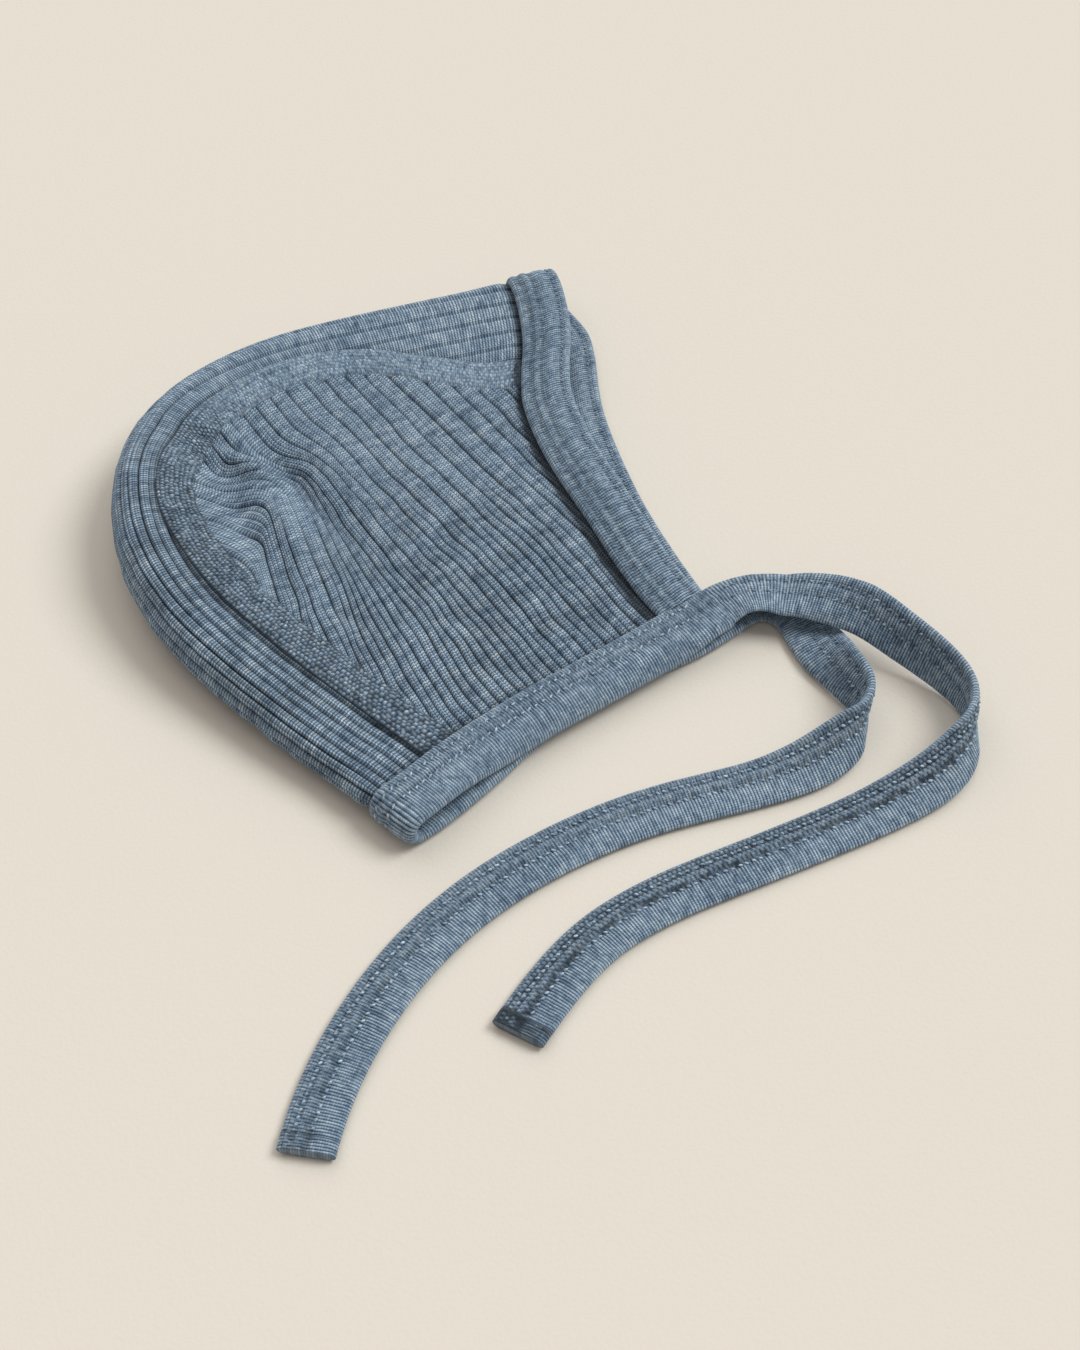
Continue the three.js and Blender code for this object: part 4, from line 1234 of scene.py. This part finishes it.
# %% Rows of stitches
def stitch_row(surface, row, face, pitch, long, wide, slant, dull, seed, inset=5.0):
    """Spindles along one row of a band, on its upper or lower face (1 or -1), pitch apart and each
    slanted a little differently. dull is from 0, pale, to 1, dark."""
    random = np.random.default_rng(seed)
    along = surface["along"]
    place = np.arange(along[0] + inset, along[-1] - inset, pitch)
    place = place + random.uniform(-0.12, 0.12, len(place)) * pitch
    i = np.clip(np.searchsorted(along, place), 1, len(along) - 2)
    j = int(np.searchsorted(surface["across"], row))
    share = (row - surface["across"][j - 1]) / (surface["across"][j] - surface["across"][j - 1])
    on = surface["middle"] + face * surface["normal"] * surface[face][..., None]
    line = mix(on[:, j - 1], on[:, j], share)
    forward = unit(line[i + 1] - line[i - 1])
    up = face * surface["normal"][i, j]
    side = unit(np.cross(up, forward))
    angle = np.radians(slant * face) + random.normal(0, 0.14, len(place))
    way = forward * np.cos(angle)[:, None] + side * np.sin(angle)[:, None]
    centre = line[i] + up * (wide * 0.18)
    points, faces = spindles(centre, way, unit(np.cross(up, way)), up, long, wide)
    shade = np.repeat(dull + random.uniform(0.0, 0.3, len(place)), len(points) // len(place))
    return points, faces, shade


def add_stitches(name, rows):
    """Joins rows of stitches into one piece."""
    points, faces, shades, count = [], [], [], 0
    for row in rows:
        row_points, row_faces, shade = stitch_row(*row)
        points.append(row_points)
        shades.append(shade)
        faces += [face + count for face in row_faces]
        count += len(row_points)
    points = np.concatenate(points)
    make_piece(name, points, faces, points[:, :2], np.concatenate(shades), thread_wool, None)


# %% Sew the bands: surface, row, face, pitch, length, width, slant in degrees, dull, seed
thread_wool = knit_material("thread_wool", *THREAD_STITCH, shade=1.3, stitch=0.00005, hole_shade=0.10,
                            fleck_long=1.5)
add_stitches("binding_stitches", [
    (neck_surface, NECK_ROWS[0], 1, 2.15, 1.40, 0.60, 22, 0.10, 61),
    (neck_surface, NECK_ROWS[1], 1, 2.15, 1.35, 0.60, 22, 0.10, 62),
    (neck_surface, NECK_ROWS[0], -1, 2.15, 1.40, 0.60, 22, 0.10, 63),
    (face_surface, FACE_ROWS[0], 1, 1.60, 0.90, 0.42, 12, 0.45, 64),
    (face_surface, FACE_ROWS[0], -1, 1.60, 0.90, 0.42, 12, 0.45, 66),
])
add_stitches("tie_stitches", [
    (surface, row, face, 1.95, 1.2, 0.72, 28, 0.12 if face < 0 else 0.50, seed)
    for seed, (surface, row, face) in enumerate(
        ((surface, row, face) for surface in (left_surface, right_surface)
         for row in TIE_ROWS for face in (1, -1)), 70)
])

# %% [markdown]
# ## Floor, light and camera
# The bonnet lies on plain pale paper. A soft light stands to the right, a wider and weaker one behind,
# and a dim, slightly warm sky fills the shadows. The camera looks down at 52 degrees, turned 20
# degrees round the bonnet, as the photo was taken.

# %% Floor
def paper_material():
    """Matt paper with a fine grain from noise."""
    material = bpy.data.materials.new("paper")
    material.use_nodes = True
    material.node_tree.nodes.clear()
    n = Nodes(material)
    place = n.new("ShaderNodeTexCoord")
    grain = n.new("ShaderNodeTexNoise")
    n.feed(grain.inputs["Vector"], place.outputs["Object"])
    grain.inputs["Scale"].default_value = 900.0
    grain.inputs["Detail"].default_value = 4.0
    bump = n.new("ShaderNodeBump")
    bump.inputs["Strength"].default_value = 0.35
    bump.inputs["Distance"].default_value = 0.0002
    n.feed(bump.inputs["Height"], grain.outputs["Fac"])
    shader = n.new("ShaderNodeBsdfPrincipled")
    shader.inputs["Base Color"].default_value = (*linear(228, 219, 206), 1)
    shader.inputs["Roughness"].default_value = 0.95
    shader.inputs["Specular IOR Level"].default_value = 0.1
    n.feed(shader.inputs["Normal"], bump.outputs[0])
    output = n.new("ShaderNodeOutputMaterial")
    n.feed(output.inputs["Surface"], shader.outputs[0])
    return material


FLOOR_REACH = 15.0
FLOOR_DROP = 0.0001
corners = [(x * FLOOR_REACH, y * FLOOR_REACH, 0) for x, y in ((-1, -1), (1, -1), (1, 1), (-1, 1))]
floor_mesh = bpy.data.meshes.new("floor")
floor_mesh.from_pydata(corners, [], [(0, 1, 2, 3)])
floor_mesh.materials.append(paper_material())
floor = bpy.data.objects.new("floor", floor_mesh)
floor.location.z = -FLOOR_DROP
bpy.context.collection.objects.link(floor)
print("floor", 2 * FLOOR_REACH, "m wide")

# %% Lights
def add_sun(name, direction, spread, strength, colour):
    """A soft distant light from a direction: spread is how wide it looks, in degrees."""
    data = bpy.data.lights.new(name, "SUN")
    data.angle = math.radians(spread)
    data.energy = strength
    data.color = colour
    light = bpy.data.objects.new(name, data)
    light.rotation_euler = Vector(direction).to_track_quat("Z", "Y").to_euler()
    bpy.context.collection.objects.link(light)
    print(name, "light,", spread, "degrees wide")


add_sun("key", (0.97, -0.02, 1.15), 30.0, 1.84, (0.95, 1.0, 1.02))
add_sun("back", (0.10, 0.95, 1.20), 70.0, 1.02, (0.98, 1.0, 1.02))
world = bpy.data.worlds.new("sky")
bpy.context.scene.world = world
world.use_nodes = True
world.node_tree.nodes["Background"].inputs["Color"].default_value = (1.0, 0.95, 0.92, 1)
world.node_tree.nodes["Background"].inputs["Strength"].default_value = 0.35
bpy.context.scene.view_settings.view_transform = "Standard"

# %% Camera
CAMERA_PLACE = (-0.1224, -0.3948, 0.4964)
CAMERA_AIM = (0.01024, -0.03033, 0.0)
camera_data = bpy.data.cameras.new("camera")
camera_data.lens = 66.67
camera_data.sensor_width = 36.0
camera = bpy.data.objects.new("camera", camera_data)
camera.location = CAMERA_PLACE
view = Vector(CAMERA_AIM) - Vector(CAMERA_PLACE)
camera.rotation_euler = view.to_track_quat("-Z", "Y").to_euler()
print("camera looks down", round(math.degrees(math.asin(-view.normalized().z))), "degrees")
bpy.context.collection.objects.link(camera)
bpy.context.scene.camera = camera
